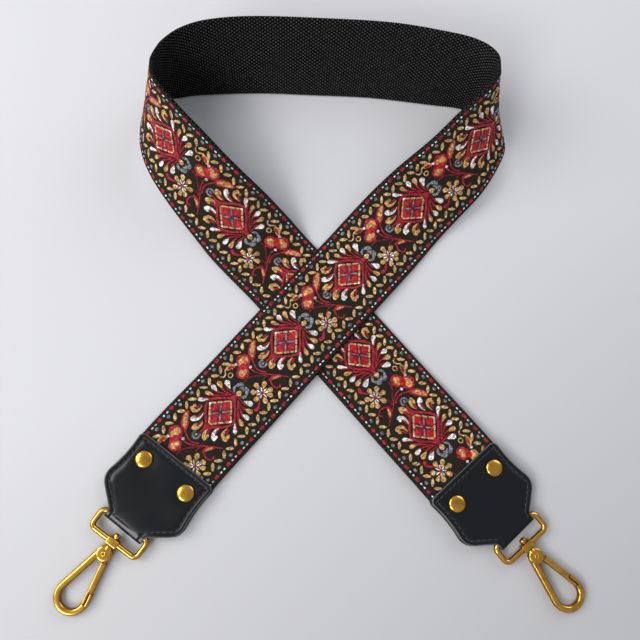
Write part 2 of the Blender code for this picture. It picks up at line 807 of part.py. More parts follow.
def stand_on_origin(root):
    """Moves the whole strap so that the middle of its bounding box's underside is the origin."""
    bpy.context.view_layer.update()
    points = []
    for obj in bpy.data.objects:
        if obj.type == "MESH":
            points += [obj.matrix_world @ vertex.co for vertex in obj.data.vertices]
    low = Vector([min(p[i] for p in points) for i in range(3)])
    high = Vector([max(p[i] for p in points) for i in range(3)])
    root.location = (-(low.x + high.x) / 2, -(low.y + high.y) / 2, -low.z)
    bpy.context.view_layer.update()


clear_scene()
strap_root = make_axis("strap_root", None, Matrix.Identity(4))
band = band_frames()
webbing_half = webbing_thickness / 2
webbing_section = rounded_strip(strap_width / 2, -webbing_half, webbing_half, webbing_edge)
webbing_section.insert(5, (0, webbing_half))
webbing_section.insert(1, (0, -webbing_half))
ribbon_floor = webbing_half + layer_gap
ribbon_side = ribbon_width / 2
ribbon_top = ribbon_floor + ribbon_thickness
ribbon_section = [
    (-ribbon_side, ribbon_floor),
    (0, ribbon_floor),
    (ribbon_side, ribbon_floor),
    (ribbon_side, ribbon_top),
    (0, ribbon_top),
    (-ribbon_side, ribbon_top),
]
seat(band_layer("webbing", band, webbing_section, black_webbing), strap_root)
seat(band_layer("ribbon", band, ribbon_section, woven_ribbon), strap_root)
for side in ("left", "right"):
    hook_end(side, strap_root)
stand_on_origin(strap_root)
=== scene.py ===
"""Looks of the detachable bag strap: patterned ribbon on black webbing, leather ends and brass snap hooks.

The band and the leather are rebuilt with their weave, stitching and edges, whose pale line is partly wear and partly
painted highlight, over the plain solids of the frame, and the metal gets finer castings of the same sizes. Metres, +Z
up; pattern and metal in millimetres.
"""

import json
import math

import bmesh
import bpy
import numpy as np
from mathutils import Matrix, Vector


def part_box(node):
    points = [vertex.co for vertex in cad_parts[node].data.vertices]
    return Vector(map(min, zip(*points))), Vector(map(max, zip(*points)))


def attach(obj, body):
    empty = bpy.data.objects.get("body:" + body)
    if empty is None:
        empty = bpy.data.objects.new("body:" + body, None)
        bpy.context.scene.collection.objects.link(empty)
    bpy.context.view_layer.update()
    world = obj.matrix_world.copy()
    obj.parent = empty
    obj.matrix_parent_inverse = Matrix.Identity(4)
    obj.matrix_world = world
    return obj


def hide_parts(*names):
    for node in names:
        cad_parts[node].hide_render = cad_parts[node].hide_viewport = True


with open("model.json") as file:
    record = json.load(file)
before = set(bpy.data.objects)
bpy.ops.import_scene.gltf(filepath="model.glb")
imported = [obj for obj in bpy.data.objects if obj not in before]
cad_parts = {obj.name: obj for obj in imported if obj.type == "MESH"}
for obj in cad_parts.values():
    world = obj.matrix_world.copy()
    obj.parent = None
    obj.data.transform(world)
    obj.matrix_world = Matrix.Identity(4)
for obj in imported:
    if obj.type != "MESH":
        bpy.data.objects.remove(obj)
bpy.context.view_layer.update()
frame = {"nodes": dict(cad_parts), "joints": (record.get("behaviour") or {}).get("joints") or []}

MM = 0.001

# Sizes shared with the solids
strap_width = 0.050
webbing_thickness = 0.0015
ribbon_width = 0.0484
ribbon_thickness = 0.0006
layer_gap = 0.0002
crossing_gap = 0.0005
crossing_share = 0.62
settled_share = 0.4
knuckle_along = 0.0029
knuckle_across = 0.0021
loop_reach = 0.150
loop_spread = 0.100
leg_slant = math.radians(48.25)
leg_lengths = {"left": 0.114, "right": 0.1212}
tab_turns = {"left": math.radians(4), "right": 0.0}
leather_thickness = 0.0013
tab_length = 0.0468
tab_width = 0.0522
tab_corner_radius = 0.0035
waist_place = 0.012
shoulder_radius = 0.009
neck_radius = 0.003
neck_length = 0.0033
fold_width = 0.0254
flank_angle = math.radians(11)
taper_angle = math.radians(52)
tunnel_radius = 0.00185
tunnel_slope = 0.0025
ring_setback = 0.00355
ring_bar_room = 0.00234
band_end_room = 0.0014
rivet_inset = 0.0113
rivet_spacing = 0.0292
webbing_floor = 0.0026
tab_middle = 0.00375
leaf_half_gap = 0.00135
tunnel_back = tab_length - ring_setback - ring_bar_room
strap_end = tunnel_back - tunnel_slope - band_end_room
fold_centre = tab_length - leather_thickness - tunnel_radius

# The band's loop in plan: middle across and behind, lift of the lower edge, bearing and rise across the band
loop_shares = [
    (0.21, 0.157, 0.056, 138, 0), (0.40, 0.297, 0.025, 138, 9), (0.53, 0.390, 0.010, 141, 19),
    (0.67, 0.477, 0.075, 144, 27), (0.81, 0.561, 0.160, 149, 34), (0.93, 0.658, 0.205, 153, 44),
    (0.99, 0.713, 0.190, 155, 52), (1.03, 0.774, 0.130, 153, 64), (1.03, 0.838, 0.060, 136, 74),
    (1.00, 0.897, 0.015, 103, 75), (0.92, 0.937, 0.000, 88, 71), (0.73, 0.968, 0.000, 84, 65),
    (0.43, 0.994, 0.000, 85, 62), (0.00, 1.000, 0.000, 90, 62), (-0.43, 0.994, 0.000, 96, 63),
    (-0.64, 0.976, 0.000, 97, 66), (-0.82, 0.937, 0.002, 90, 74), (-0.90, 0.900, 0.020, 73, 79),
    (-0.96, 0.852, 0.050, 42, 79), (-0.99, 0.787, 0.090, 22, 75), (-0.97, 0.722, 0.120, 17, 68),
    (-0.93, 0.663, 0.140, 19, 59), (-0.82, 0.557, 0.135, 26, 46), (-0.69, 0.461, 0.070, 30, 38),
    (-0.56, 0.378, 0.015, 34, 29), (-0.41, 0.284, 0.000, 40, 14), (-0.21, 0.157, 0.000, 42, 0),
]


def tab_frame(side):
    """The middle of the tab's back edge on the table, +Y towards the hook, before the shift to the origin."""
    heading = math.pi + leg_slant if side == "left" else -leg_slant
    back = Vector((math.cos(heading), math.sin(heading), 0)) * leg_lengths[side]
    return Matrix.Translation(back) @ Matrix.Rotation(heading + tab_turns[side] - math.pi / 2, 4, "Z")


def frame_shift():
    """How far the solids were moved to stand on the origin, read from a rivet's place."""
    low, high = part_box("left_rivet_cap_1")
    middle = (low + high) / 2
    seats = [tab_frame("left") @ Vector((way * rivet_spacing / 2, rivet_inset, 0)) for way in (-1, 1)]
    return min((Vector((middle.x - p.x, middle.y - p.y, 0)) for p in seats), key=lambda v: v.length)


shift = frame_shift()
tab_frames = {side: Matrix.Translation(shift) @ tab_frame(side) for side in ("left", "right")}


# The band's surface
def running_length(points):
    """How far along a line each of its points lies."""
    return np.concatenate([[0], np.cumsum(np.linalg.norm(np.diff(points, axis=0), axis=1))])


def unit(vectors):
    return vectors / np.maximum(np.linalg.norm(vectors, axis=1), 1e-9)[:, None]


def natural_slopes(knots, values):
    """Slopes of the smoothest curve through the values, straight at both ends."""
    steps = np.diff(knots)
    count = len(knots)
    climbs = np.diff(values, axis=0) / steps[:, None]
    rule, side = np.eye(count), np.zeros_like(values)
    for i in range(1, count - 1):
        rule[i, i - 1 : i + 2] = steps[i - 1], 2 * (steps[i - 1] + steps[i]), steps[i]
        side[i] = 6 * (climbs[i] - climbs[i - 1])
    bends = np.linalg.solve(rule, side)
    slopes = np.zeros_like(values)
    slopes[:-1] = climbs - steps[:, None] * (2 * bends[:-1] + bends[1:]) / 6
    slopes[-1] = climbs[-1] + steps[-1] * (bends[-2] + 2 * bends[-1]) / 6
    return slopes


def steady_slopes(knots, values):
    """Slopes of a curve that never swings past its values."""
    climbs = np.diff(values, axis=0) / np.diff(knots)[:, None]
    slopes = np.zeros_like(values)
    before, after = climbs[:-1], climbs[1:]
    agree = before * after > 0
    slopes[1:-1] = np.where(agree, 2 * before * after / np.where(agree, before + after, 1), 0)
    return slopes


def along_curve(knots, values, slopes, places):
    """The curve through the values at the knots, read at some places."""
    i = np.clip(np.searchsorted(knots, places) - 1, 0, len(knots) - 2)
    h = (knots[i + 1] - knots[i])[:, None]
    u = (places - knots[i])[:, None] / h
    chord = values[i] + (values[i + 1] - values[i]) * u * u * (3 - 2 * u)
    return chord + h * (slopes[i] * u * (1 - u) ** 2 - slopes[i + 1] * u * u * (1 - u))


def leg_rows(side, lift):
    """The flat leg from the crossing into its tab: middle, lift, bearing and rise."""
    matrix = tab_frame(side)
    back, tab_along = matrix.translation, matrix.col[1].to_3d()
    along = back.normalized()
    bearing = math.pi / 2 + leg_slant if side == "left" else math.pi / 2 - leg_slant
    turned = bearing + tab_turns[side]
    crossing_end = along * strap_width * crossing_share
    return [
        (along * 0, lift, bearing, 0),
        (crossing_end, lift, bearing, 0),
        ((crossing_end + back) / 2, webbing_floor * settled_share, bearing, 0),
        (back - along * tab_corner_radius, webbing_floor, bearing, 0),
        (back + tab_along * tab_corner_radius, webbing_floor, turned, 0),
        (back + tab_along * strap_end, webbing_floor, turned, 0),
    ]


def band_surface():
    """Arc length from the left tab's back edge, and the middle, across and face directions there."""
    stack = webbing_thickness + layer_gap + ribbon_thickness
    rows = leg_rows("left", stack + crossing_gap)[::-1]
    for x, y, lift, bearing, rise in loop_shares:
        middle = Vector((x * loop_spread, y * loop_reach, 0))
        rows.append((middle, lift * strap_width, math.radians(bearing), math.radians(rise)))
    rows += leg_rows("right", 0)
    plan = np.array([(row[0].x, row[0].y) for row in rows])
    pose = np.array([row[1:] for row in rows], dtype=float)
    knots = running_length(plan)
    count, window = 1800, 400
    places = np.linspace(0, knots[-1], count)
    xy = along_curve(knots, plan, natural_slopes(knots, plan), places)
    lift, bearing, rise = along_curve(knots, pose, steady_slopes(knots, pose), places).T
    flat = np.cos(rise)
    across = np.stack([np.cos(bearing) * flat, np.sin(bearing) * flat, np.sin(rise)], 1)
    height = lift + across[:, 2] * strap_width / 2 + flat * webbing_thickness / 2
    middle = np.column_stack([xy + np.array(shift[:2]), height])
    face = unit(np.cross(np.gradient(middle, places, axis=0), across))
    length = running_length(middle)
    ends = []
    for side, part in (("left", slice(0, window)), ("right", slice(count - window, count))):
        back = np.array(tab_frames[side].translation[:2])
        ends.append(length[part][np.argmin(np.linalg.norm(middle[part, :2] - back, axis=1))])
    return length - ends[0], middle, across, face, ends[1] - ends[0]


line_s, line_middle, line_across, line_face, free_length = band_surface()
ribbon_top = webbing_thickness / 2 + layer_gap + ribbon_thickness


def on_band(s, t, h):
    """Points on the band: along it from the left tab, across it and above its middle layer."""

    def read(table):
        return np.stack([np.interp(s, line_s, table[:, k]) for k in range(3)], -1)

    return read(line_middle) + read(line_across) * t[..., None] + read(line_face) * h[..., None]


# Mesh helpers
def put_in_scene(name, data):
    obj = bpy.data.objects.new(name, data)
    bpy.context.scene.collection.objects.link(obj)
    return obj


def make_piece(name, points, faces, look, uv=None, map_name="BandMap", body="strap"):
    """A smooth piece in one look that rides on a body, with a map of its points if one is given."""
    mesh = bpy.data.meshes.new(name)
    mesh.from_pydata(np.asarray(points).tolist(), [], faces)
    mesh.materials.append(look)
    if uv is not None:
        layer = mesh.uv_layers.new(name=map_name)
        index = np.zeros(len(mesh.loops), int)
        mesh.loops.foreach_get("vertex_index", index)
        layer.uv.foreach_set("vector", np.asarray(uv, np.float32)[index].ravel())
    mesh.update()
    mesh.shade_smooth()
    obj = put_in_scene(name, mesh)
    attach(obj, body)
    return obj


def grid_faces(rows, columns, first=0, wrap=False):
    """Quads over a grid of points, its columns joined round if wrapped."""
    i, j = np.meshgrid(np.arange(rows - 1), np.arange(columns if wrap else columns - 1), indexing="ij")
    k = (j + 1) % columns
    quads = np.stack([i * columns + j, i * columns + k, (i + 1) * columns + k, (i + 1) * columns + j], -1)
    return (quads.reshape(-1, 4) + first).tolist()


def skin_faces(rings, sides):
    """Faces round a stack of rings, with both ends closed."""
    ends = [list(range(sides))[::-1], [(rings - 1) * sides + j for j in range(sides)]]
    return grid_faces(rings, sides, wrap=True) + ends


def round_rings(line, half, out, up, sides):
    """Round rings about the points of a line, half as wide as given, in the plane of out and up."""
    turns = (np.arange(sides) * math.tau / sides)[None, :, None]
    circle = np.cos(turns) * np.atleast_2d(out)[:, None] + np.sin(turns) * np.atleast_2d(up)[:, None]
    return line[:, None] + np.reshape(half, (-1, 1, 1)) * circle


def moved(points, matrix):
    """Points carried along by a matrix."""
    matrix = np.array(matrix)
    return points @ matrix[:3, :3].T + matrix[:3, 3]


# The tab's outline and its seam
def arc(centre, radius, start, end, step=math.radians(6)):
    """Points of an arc, at least three and no further apart than the step."""
    count = max(2, math.ceil(abs(end - start) / step))
    angles = np.linspace(start, end, count + 1)
    return [(centre[0] + radius * math.cos(a), centre[1] + radius * math.sin(a)) for a in angles]


def tab_edge():
    """Half the tab's outline as (place, half width) points from the back edge to the neck."""
    widest, neck = tab_width / 2, fold_width / 2
    neck_start = tab_length - neck_length
    rounds = shoulder_radius + neck_radius
    run = (widest - neck - rounds * (1 - math.cos(taper_angle))) / math.tan(taper_angle)
    shoulder_centre = (widest - shoulder_radius, neck_start - run - rounds * math.sin(taper_angle))
    shoulder = arc(shoulder_centre, shoulder_radius, -flank_angle, taper_angle)
    fillet = arc((neck + neck_radius, neck_start), -neck_radius, taper_angle, 0)
    flank_half, flank_end = shoulder[0]
    flank_run = flank_end - waist_place
    flare = math.tan(flank_angle) * flank_run / 2
    places = np.linspace(tab_corner_radius, flank_end, 12)[:-1]
    flank = [(flank_half - flare * (1 - ((y - waist_place) / flank_run) ** 2), y) for y in places]
    corner = arc((flank[0][0] - tab_corner_radius, tab_corner_radius), tab_corner_radius, -math.pi / 2, 0)
    return np.array(corner[:-1] + flank + shoulder + fillet)[:, ::-1]


edge_line = tab_edge()
full_edge = np.concatenate([[(0.0, 0.0)], edge_line, [(tab_length, fold_width / 2)]])
seam_inset = 0.0028
seam_end = 0.0432
seam_last = seam_end - 0.0006
slack_start = 0.0360
slack_height = leaf_half_gap + leather_thickness
wanted_pitch = 0.0033


def leaf_outline_at(place):
    return float(np.interp(place, edge_line[:, 0], edge_line[:, 1]))


def nearest_on_line(points, line):
    """Distance of each plan point to a polyline, and how far along it the nearest place lies."""
    best, along, start = np.full(len(points), 1e9), np.zeros(len(points)), 0.0
    for a, b in zip(line, line[1:]):
        run = b - a
        share = np.clip(((points - a) @ run) / max(run @ run, 1e-18), 0, 1)
        gap = np.linalg.norm(points - a - share[:, None] * run, axis=1)
        along = np.where(gap < best, start + share * math.hypot(*run), along)
        best = np.minimum(best, gap)
        start += math.hypot(*run)
    return best, along


def half_seam():
    """The seam in plan from the middle of the back edge round to the neck."""
    line = edge_line[edge_line[:, 0] < seam_last][:, ::-1]
    run = unit(np.gradient(line, axis=0))
    inside = line + np.column_stack([-run[:, 1], run[:, 0]]) * seam_inset
    inside = inside[inside[:, 1] > seam_inset * 0.999]
    return np.concatenate([[(0, seam_inset)], inside])


seam_line = half_seam()
seam_length = float(running_length(seam_line)[-1])
stitch_count = round(seam_length / wanted_pitch)
stitch_pitch = seam_length / stitch_count


# Node helpers
def fill(tree, node, values):
    """Sets a node's inputs, or links them to the outputs given for them."""
    for key, value in values.items():
        if isinstance(value, bpy.types.NodeSocket):
            tree.links.new(value, node.inputs[key])
        else:
            node.inputs[key].default_value = value
    return node


def add_node(tree, kind, values=None, **settings):
    """A node with its settings made and its inputs filled."""
    node = tree.nodes.new(kind)
    for key, value in settings.items():
        setattr(node, key, value)
    return fill(tree, node, values or {})


def sum_up(tree, operation, *values):
    return add_node(tree, "ShaderNodeMath", dict(enumerate(values)), operation=operation).outputs[0]


def times(tree, value, other):
    return sum_up(tree, "MULTIPLY", value, other)


def sloped(tree, value, slope, base):
    return sum_up(tree, "MULTIPLY_ADD", value, slope, base)


def crests(tree, place, length, drift=0.0):
    """Round crests along a place, one for each length."""
    turn = times(tree, sum_up(tree, "DIVIDE", place, length), math.pi)
    return sum_up(tree, "ABSOLUTE", sum_up(tree, "SINE", sum_up(tree, "ADD", turn, drift)))


def noise(tree, place, scale, detail=2.0):
    return add_node(tree, "ShaderNodeTexNoise", {"Vector": place, "Scale": scale, "Detail": detail}).outputs["Fac"]


def parts_of(tree, vector):
    return add_node(tree, "ShaderNodeSeparateXYZ", {0: vector}).outputs


def mix_colour(tree, share, low, high):
    return add_node(tree, "ShaderNodeMix", {0: share, 6: low, 7: high}, data_type="RGBA").outputs[2]


def dimmed(tree, colour, amount):
    return add_node(tree, "ShaderNodeVectorMath", {0: colour, "Scale": amount}, operation="SCALE").outputs[0]


def ramp(tree, value, stops):
    """A grey that follows a value through (place, grey) stops."""
    node = add_node(tree, "ShaderNodeValToRGB", {"Fac": value})
    elements = node.color_ramp.elements
    while len(elements) < len(stops):
        elements.new(0.5)
    for element, (place, grey) in zip(elements, stops):
        element.position = place
        element.color = (grey, grey, grey, 1)
    return node.outputs["Color"]


def bump(tree, height, distance, strength=1.0):
    values = {"Height": height, "Distance": distance, "Strength": strength}
    return add_node(tree, "ShaderNodeBump", values).outputs["Normal"]


def object_place(tree):
    return tree.nodes.new("ShaderNodeTexCoord").outputs["Object"]


def map_place(tree, name):
    return add_node(tree, "ShaderNodeUVMap", uv_map=name).outputs["UV"]


# Effects that the looks share
socket_kinds = {"Place": "Vector", "Color": "Color", "Bright": "Color", "Dark": "Color"}


def new_group(name, inputs, outputs):
    """An empty shader group, what it is given, and the node that takes its results."""
    group = bpy.data.node_groups.new(name, "ShaderNodeTree")
    for way, labels in (("INPUT", inputs), ("OUTPUT", outputs)):
        for label in labels.split():
            kind = "NodeSocket" + socket_kinds.get(label, "Float")
            group.interface.new_socket(label, in_out=way, socket_type=kind)
    return group, group.nodes.new("NodeGroupInput").outputs, group.nodes.new("NodeGroupOutput")


def use_group(tree, group, values):
    return add_node(tree, "ShaderNodeGroup", values, node_tree=group).outputs


def woven_rows_group():
    """The height of threads that lie in rows and columns across a place given in metres."""
    group, given, result = new_group("woven_rows", "Place Row Column Fuzz", "Height")
    parts = parts_of(group, given["Place"])
    drift = times(group, noise(group, given["Place"], 900.0), given["Fuzz"])
    row = sum_up(group, "POWER", crests(group, parts[0], given["Row"], drift), 0.5)
    column = sum_up(group, "POWER", crests(group, parts[1], given["Column"], drift), 0.35)
    fill(group, result, {"Height": times(group, row, column)})
    return group


def thread_floats_group():
    """Rows of short thread floats laid like bricks across the ribbon, lighter, darker and shaded at their ends."""
    group, given, result = new_group("thread_floats", "Place Color Lift", "Color Height")
    row_width, float_length, float_gap = 0.00078, 0.0021, 0.00011
    parts = parts_of(group, given["Place"])
    turned = add_node(group, "ShaderNodeCombineXYZ", {0: parts[1], 1: parts[0]}).outputs[0]
    laid = {
        "Vector": turned, "Color1": (1, 1, 1, 1), "Color2": (0.40, 0.40, 0.40, 1), "Mortar": (0.07, 0.07, 0.07, 1),
        "Scale": 1.0, "Mortar Size": float_gap, "Mortar Smooth": 0.6, "Bias": -0.1,
        "Brick Width": float_length, "Row Height": row_width,
    }
    bricks = add_node(group, "ShaderNodeTexBrick", laid, offset=0.37).outputs
    spread = ramp(group, noise(group, given["Place"], 650.0), [(0.36, 0.0), (0.64, 1.0)])
    shade = add_node(group, "ShaderNodeSeparateColor", {0: bricks["Color"]}).outputs[0]
    tone = times(group, shade, sum_up(group, "ADD", spread, given["Lift"]))
    height = sum_up(group, "SUBTRACT", crests(group, parts[0], row_width), bricks["Fac"])
    fill(group, result, {"Color": dimmed(group, given["Color"], tone), "Height": height})
    return group


def hide_grain_group():
    """Fine pebbles and slow unevenness of a hide."""
    group, given, result = new_group("hide_grain", "Place", "Height Cloud")
    values = {"Vector": given["Place"], "Scale": 1400.0}
    pebbles = add_node(group, "ShaderNodeTexVoronoi", values, feature="SMOOTH_F1")
    cloud = noise(group, given["Place"], 60.0, 5.0)
    fill(group, result, {"Height": pebbles.outputs["Distance"], "Cloud": cloud})
    return group


def patina_and_flank_shade_group():
    """Dark brown from patina in blotches and from painted shade on the flanks, and fine rubbing marks."""
    group, given, result = new_group("patina_and_flank_shade", "Place Bright Dark Amount Flank", "Color Roughness Height")
    blotch = ramp(group, noise(group, given["Place"], 260.0, 6.0), [(0.44, 0.0), (0.74, 1.0)])
    # Flank is painted shade: it darkens the sides of a piece wherever the blotches are.
    share = sum_up(group, "MAXIMUM", times(group, blotch, given["Amount"]), given["Flank"])
    rub = noise(group, given["Place"], 1500.0, 3.0)
    rough = sloped(group, share, 0.10, sloped(group, rub, 0.08, 0.15))
    colour = mix_colour(group, share, given["Bright"], given["Dark"])
    fill(group, result, {"Color": colour, "Roughness": rough, "Height": rub})
    return group


woven_rows, thread_floats, hide_grain, patina_and_flank_shade = (
    woven_rows_group(), thread_floats_group(), hide_grain_group(), patina_and_flank_shade_group()
)


# Looks
def new_look(name, **plain):
    """A material with its Principled shader's plain values set, its tree and the shader."""
    material = bpy.data.materials.new(name)
    material.use_nodes = True
    tree = material.node_tree
    shader = tree.nodes["Principled BSDF"]
    fill(tree, shader, {key.replace("_", " "): value for key, value in plain.items()})
    return material, tree, shader


def silk(name, colour, lift):
    """Shiny embroidery silk: floats of thread across the ribbon, each of its own tone."""
    material, tree, shader = new_look(name, Roughness=0.42, Specular_IOR_Level=0.28)
    values = {"Place": map_place(tree, "BandMap"), "Color": (*colour, 1), "Lift": lift}
    floats = use_group(tree, thread_floats, values)
    fill(tree, shader, {"Base Color": floats["Color"], "Normal": bump(tree, floats["Height"], 0.00018, 0.8)})
    return material


def cloth(name, colour, crest_highlight, row, column, depth):
    """Matte weave with paler specks where the threads cross: painted highlight on the crests of the weave."""
    material, tree, shader = new_look(name, Roughness=0.9, Specular_IOR_Level=0.2)
    values = {"Place": map_place(tree, "BandMap"), "Row": row, "Column": column, "Fuzz": 0.6}
    height = use_group(tree, woven_rows, values)["Height"]
    # lit: painted highlight, strongest on the weave's crests.
    lit = times(tree, height, noise(tree, object_place(tree), 700.0))
    skin = mix_colour(tree, lit, (*colour, 1), (*crest_highlight, 1))
    fill(tree, shader, {"Base Color": skin, "Normal": bump(tree, height, depth)})
    return material


def coarse_weave(name, gap, thread, depth):
    """Thick dull yarn that crosses by turns, so that its knuckles lie staggered, with painted shade in the dark gaps
    between them.
    """
    material, tree, shader = new_look(name, Roughness=0.75)
    place = map_place(tree, "BandMap")
    stretch = (1, knuckle_along / knuckle_across, 1)
    slanted = {"Vector": place, "Rotation": (0, 0, math.pi / 4), "Scale": stretch}
    turned = add_node(tree, "ShaderNodeMapping", slanted).outputs[0]
    step = knuckle_along / math.sqrt(2)
    height = use_group(tree, woven_rows, {"Place": turned, "Row": step, "Column": step, "Fuzz": 0.7})["Height"]
    rib = crests(tree, parts_of(tree, place)[0], knuckle_along / 2, math.pi / 2)
    raised = times(tree, sum_up(tree, "POWER", height, 3.5), rib)
    lit = times(tree, raised, sloped(tree, noise(tree, object_place(tree), 420.0), 1.8, 0.1))
    # Base colour runs from painted shade in the gaps to the yarn's colour on the knuckles.
    fill(tree, shader, {
        "Base Color": mix_colour(tree, lit, (*gap, 1), (*thread, 1)),
        "Specular IOR Level": times(tree, raised, 0.5),
        "Normal": bump(tree, height, depth),
    })
    return material


def hide(name, colour, rim_wear_and_highlight):
    """Smooth dark hide: fine pebbles, a paler line near its cut edge that is partly wear and partly painted
    highlight, and needle holes along the seam painted near-black as painted shade.
    """
    material, tree, shader = new_look(name, Specular_IOR_Level=0.40)
    # The needle holes' near-black colour is painted shade.
    hole_reach, hole_half, hole_shade_colour = 0.0006, 0.0007, (0.0006, 0.0006, 0.0007, 1)
    grain = use_group(tree, hide_grain, {"Place": object_place(tree)})
    away, along = parts_of(tree, map_place(tree, "EdgeMap"))[:2]
    # rim: a paler line just inside the cut edge, partly wear and partly painted highlight.
    rim = ramp(tree, times(tree, away, 1 / MM), [(0.0, 0.15), (0.18, 0.9), (0.42, 0.6), (0.8, 0.0)])
    beat = sum_up(tree, "PINGPONG", times(tree, along, 1 / stitch_pitch), 0.5)
    ahead = sum_up(tree, "POWER", times(tree, beat, stitch_pitch / hole_reach), 2)
    aside = sum_up(tree, "POWER", times(tree, sum_up(tree, "SUBTRACT", away, seam_inset), 1 / hole_half), 2)
    hole = ramp(tree, sum_up(tree, "SQRT", sum_up(tree, "ADD", ahead, aside)), [(0.45, 1.0), (1.0, 0.0)])
    skin = mix_colour(tree, times(tree, rim, grain["Cloud"]), (*colour, 1), (*rim_wear_and_highlight, 1))
    fill(tree, shader, {
        "Base Color": mix_colour(tree, hole, skin, hole_shade_colour),
        "Roughness": sloped(tree, hole, 0.6, sloped(tree, grain["Cloud"], 0.14, 0.17)),
        "Normal": bump(tree, sloped(tree, hole, -8.0, grain["Height"]), 0.00005, 0.45),
    })
    return material


def waxed_thread(name, colour):
    """Twisted thread: slanting strands under a soft gloss."""
    material, tree, shader = new_look(name, Roughness=0.32, Specular_IOR_Level=0.5, Base_Color=(*colour, 1))
    wave = add_node(tree, "ShaderNodeTexWave", {"Vector": object_place(tree), "Scale": 900.0, "Distortion": 1.0})
    fill(tree, shader, {"Normal": bump(tree, wave.outputs["Fac"], 0.00006, 0.6)})
    return material


def brass(name, bright, dark, amount):
    """Bright metal with patina in blotches, and painted shade that turns every face dark brown as it turns away from
    up.
    """
    material, tree, shader = new_look(name, Metallic=1.0)
    facing = add_node(tree, "ShaderNodeTexCoord").outputs["Normal"]
    upward = sum_up(tree, "ABSOLUTE", parts_of(tree, facing)[2])
    # Painted shade on the flanks: the steeper a face, the darker its colour.
    flank = ramp(tree, upward, [(0.0, 0.95), (0.45, 0.85), (0.72, 0.45), (0.93, 0.0)])
    tones = {"Bright": (*bright, 1), "Dark": (*dark, 1), "Amount": amount, "Flank": flank}
    skin = use_group(tree, patina_and_flank_shade, {"Place": object_place(tree), **tones})
    fill(tree, shader, {
        "Base Color": skin["Color"],
        "Roughness": skin["Roughness"],
        "Normal": bump(tree, skin["Height"], 0.00001, 0.25),
    })
    return material


silk_colours = {
    "crimson": (0.62, 0.014, 0.045),
    "red": (0.76, 0.012, 0.024),
    "wine": (0.24, 0.008, 0.022),
    "gold": (0.93, 0.50, 0.165),
    "tan": (0.96, 0.62, 0.26),
    "cream": (0.98, 0.94, 0.90),
    "slate": (0.32, 0.34, 0.39),
}
looks = {
    name: silk(name + "_silk", colour, 0.85 if name == "cream" else 0.55) for name, colour in silk_colours.items()
}
looks |= {
    "ground": cloth("ribbon_ground", (0.0065, 0.0048, 0.0034), (0.040, 0.033, 0.022), 0.0012, 0.0010, 0.00022),
    "webbing": coarse_weave("webbing_weave", (0.0008, 0.0008, 0.0010), (0.080, 0.079, 0.078), 0.0006),
    "leather": hide("black_hide", (0.0032, 0.0046, 0.0060), (0.24, 0.24, 0.23)),
    "stitch": waxed_thread("waxed_thread", (0.026, 0.026, 0.028)),
    # Both metals carry the painted flank shade.
    "brass": brass("antique_brass", (0.86, 0.465, 0.078), (0.20, 0.072, 0.007), 0.5),
    "steel": brass("spring_steel", (0.62, 0.62, 0.63), (0.25, 0.25, 0.26), 0.4),
}


# The two layers of the band
edge_room = 0.0001
edge_wave = 0.00038
edge_ease = 0.00028
leaf_room = 0.0006
end_room = 0.0003


def band_places(step):
    return np.arange(-strap_end + end_room, free_length + strap_end - end_room, step)


webbing_places = band_places(knuckle_along / 4)


def band_layer(name, places, section, look):
    """A layer with its section swept along the band; the section gives (across, height) at each place."""
    sections = np.array([section(place) for place in places])
    across, height = sections[..., 0], sections[..., 1]
    s = np.broadcast_to(places[:, None], across.shape)
    uv = np.stack([s, across], -1).reshape(-1, 2)
    return make_piece(
        name, on_band(s, across, height).reshape(-1, 3), skin_faces(*across.shape), look, uv=uv
    )


def half_at_end(s, half):
    """Half the width, which is drawn in where the band lies between the leaves of a tab."""
    inside = max(-s, s - free_length)
    return half if inside < tab_corner_radius else min(half, leaf_outline_at(inside) - leaf_room)


def webbing_section(s):
    """Rounded on both sides, with edges that swell at each knuckle of the weave."""
    wave = edge_wave * abs(math.sin(math.tau * (s - webbing_places[0]) / knuckle_along))
    half = half_at_end(s, strap_width / 2 - edge_room) - edge_ease + wave
    across = np.array([-1, -0.985, -0.965, -0.93, -0.5, 0, 0.5, 0.93, 0.965, 0.985, 1]) * half
    rise = np.array([0.35, 0.75, 0.95, 1, 1, 1, 1, 1, 0.95, 0.75, 0.35]) * webbing_thickness / 2
    return np.concatenate([np.column_stack([across, rise])[::-1], np.column_stack([across, -rise])])


def ribbon_section(s):
    """Flat below and rounded at its edges above."""
    base = webbing_thickness / 2 + layer_gap
    across = np.array([-1, -0.99, -0.97, -0.6, -0.2, 0.2, 0.6, 0.97, 0.99, 1]) * half_at_end(s, ribbon_width / 2)
    rise = np.array([0.3, 0.8, 1, 1, 1, 1, 1, 1, 0.8, 0.3]) * ribbon_thickness
    return np.concatenate([np.column_stack([across, base + rise])[::-1], np.column_stack([across, base + 0 * rise])])


# The leather tabs
seam_depth = 0.00042
seam_half = 0.00065
crease_depth = 0.00018
crease_inset = 0.0013
crease_half = 0.0003
crease_end = 0.0030
dimple_depth = 0.00035
dimple_rim = 0.0046
dimple_fall = 0.0022
swell_height = 0.00016
swell_along, swell_across = 0.0061, 0.0047
swell_start, swell_fade = 0.0035, 0.004
back_leaf_spread = 0.0004
stitch_half = 0.00142
stitch_radius = 0.00038
stitch_sides = 6
stitch_sunk = 0.00022
stitch_crown = 0.00016
stitch_dive = 0.00055
stitch_slant = 0.10


def groove(gap, half):
    return np.exp(-((gap / half) ** 2))


def rounded_edge(away):
    """Half the leather's thickness at a distance from its edge."""
    rim = np.clip(away / (0.55 * leather_thickness), 0, 1)
    return leather_thickness / 2 * np.sqrt(np.clip(1 - (1 - rim) ** 2, 0, 1))


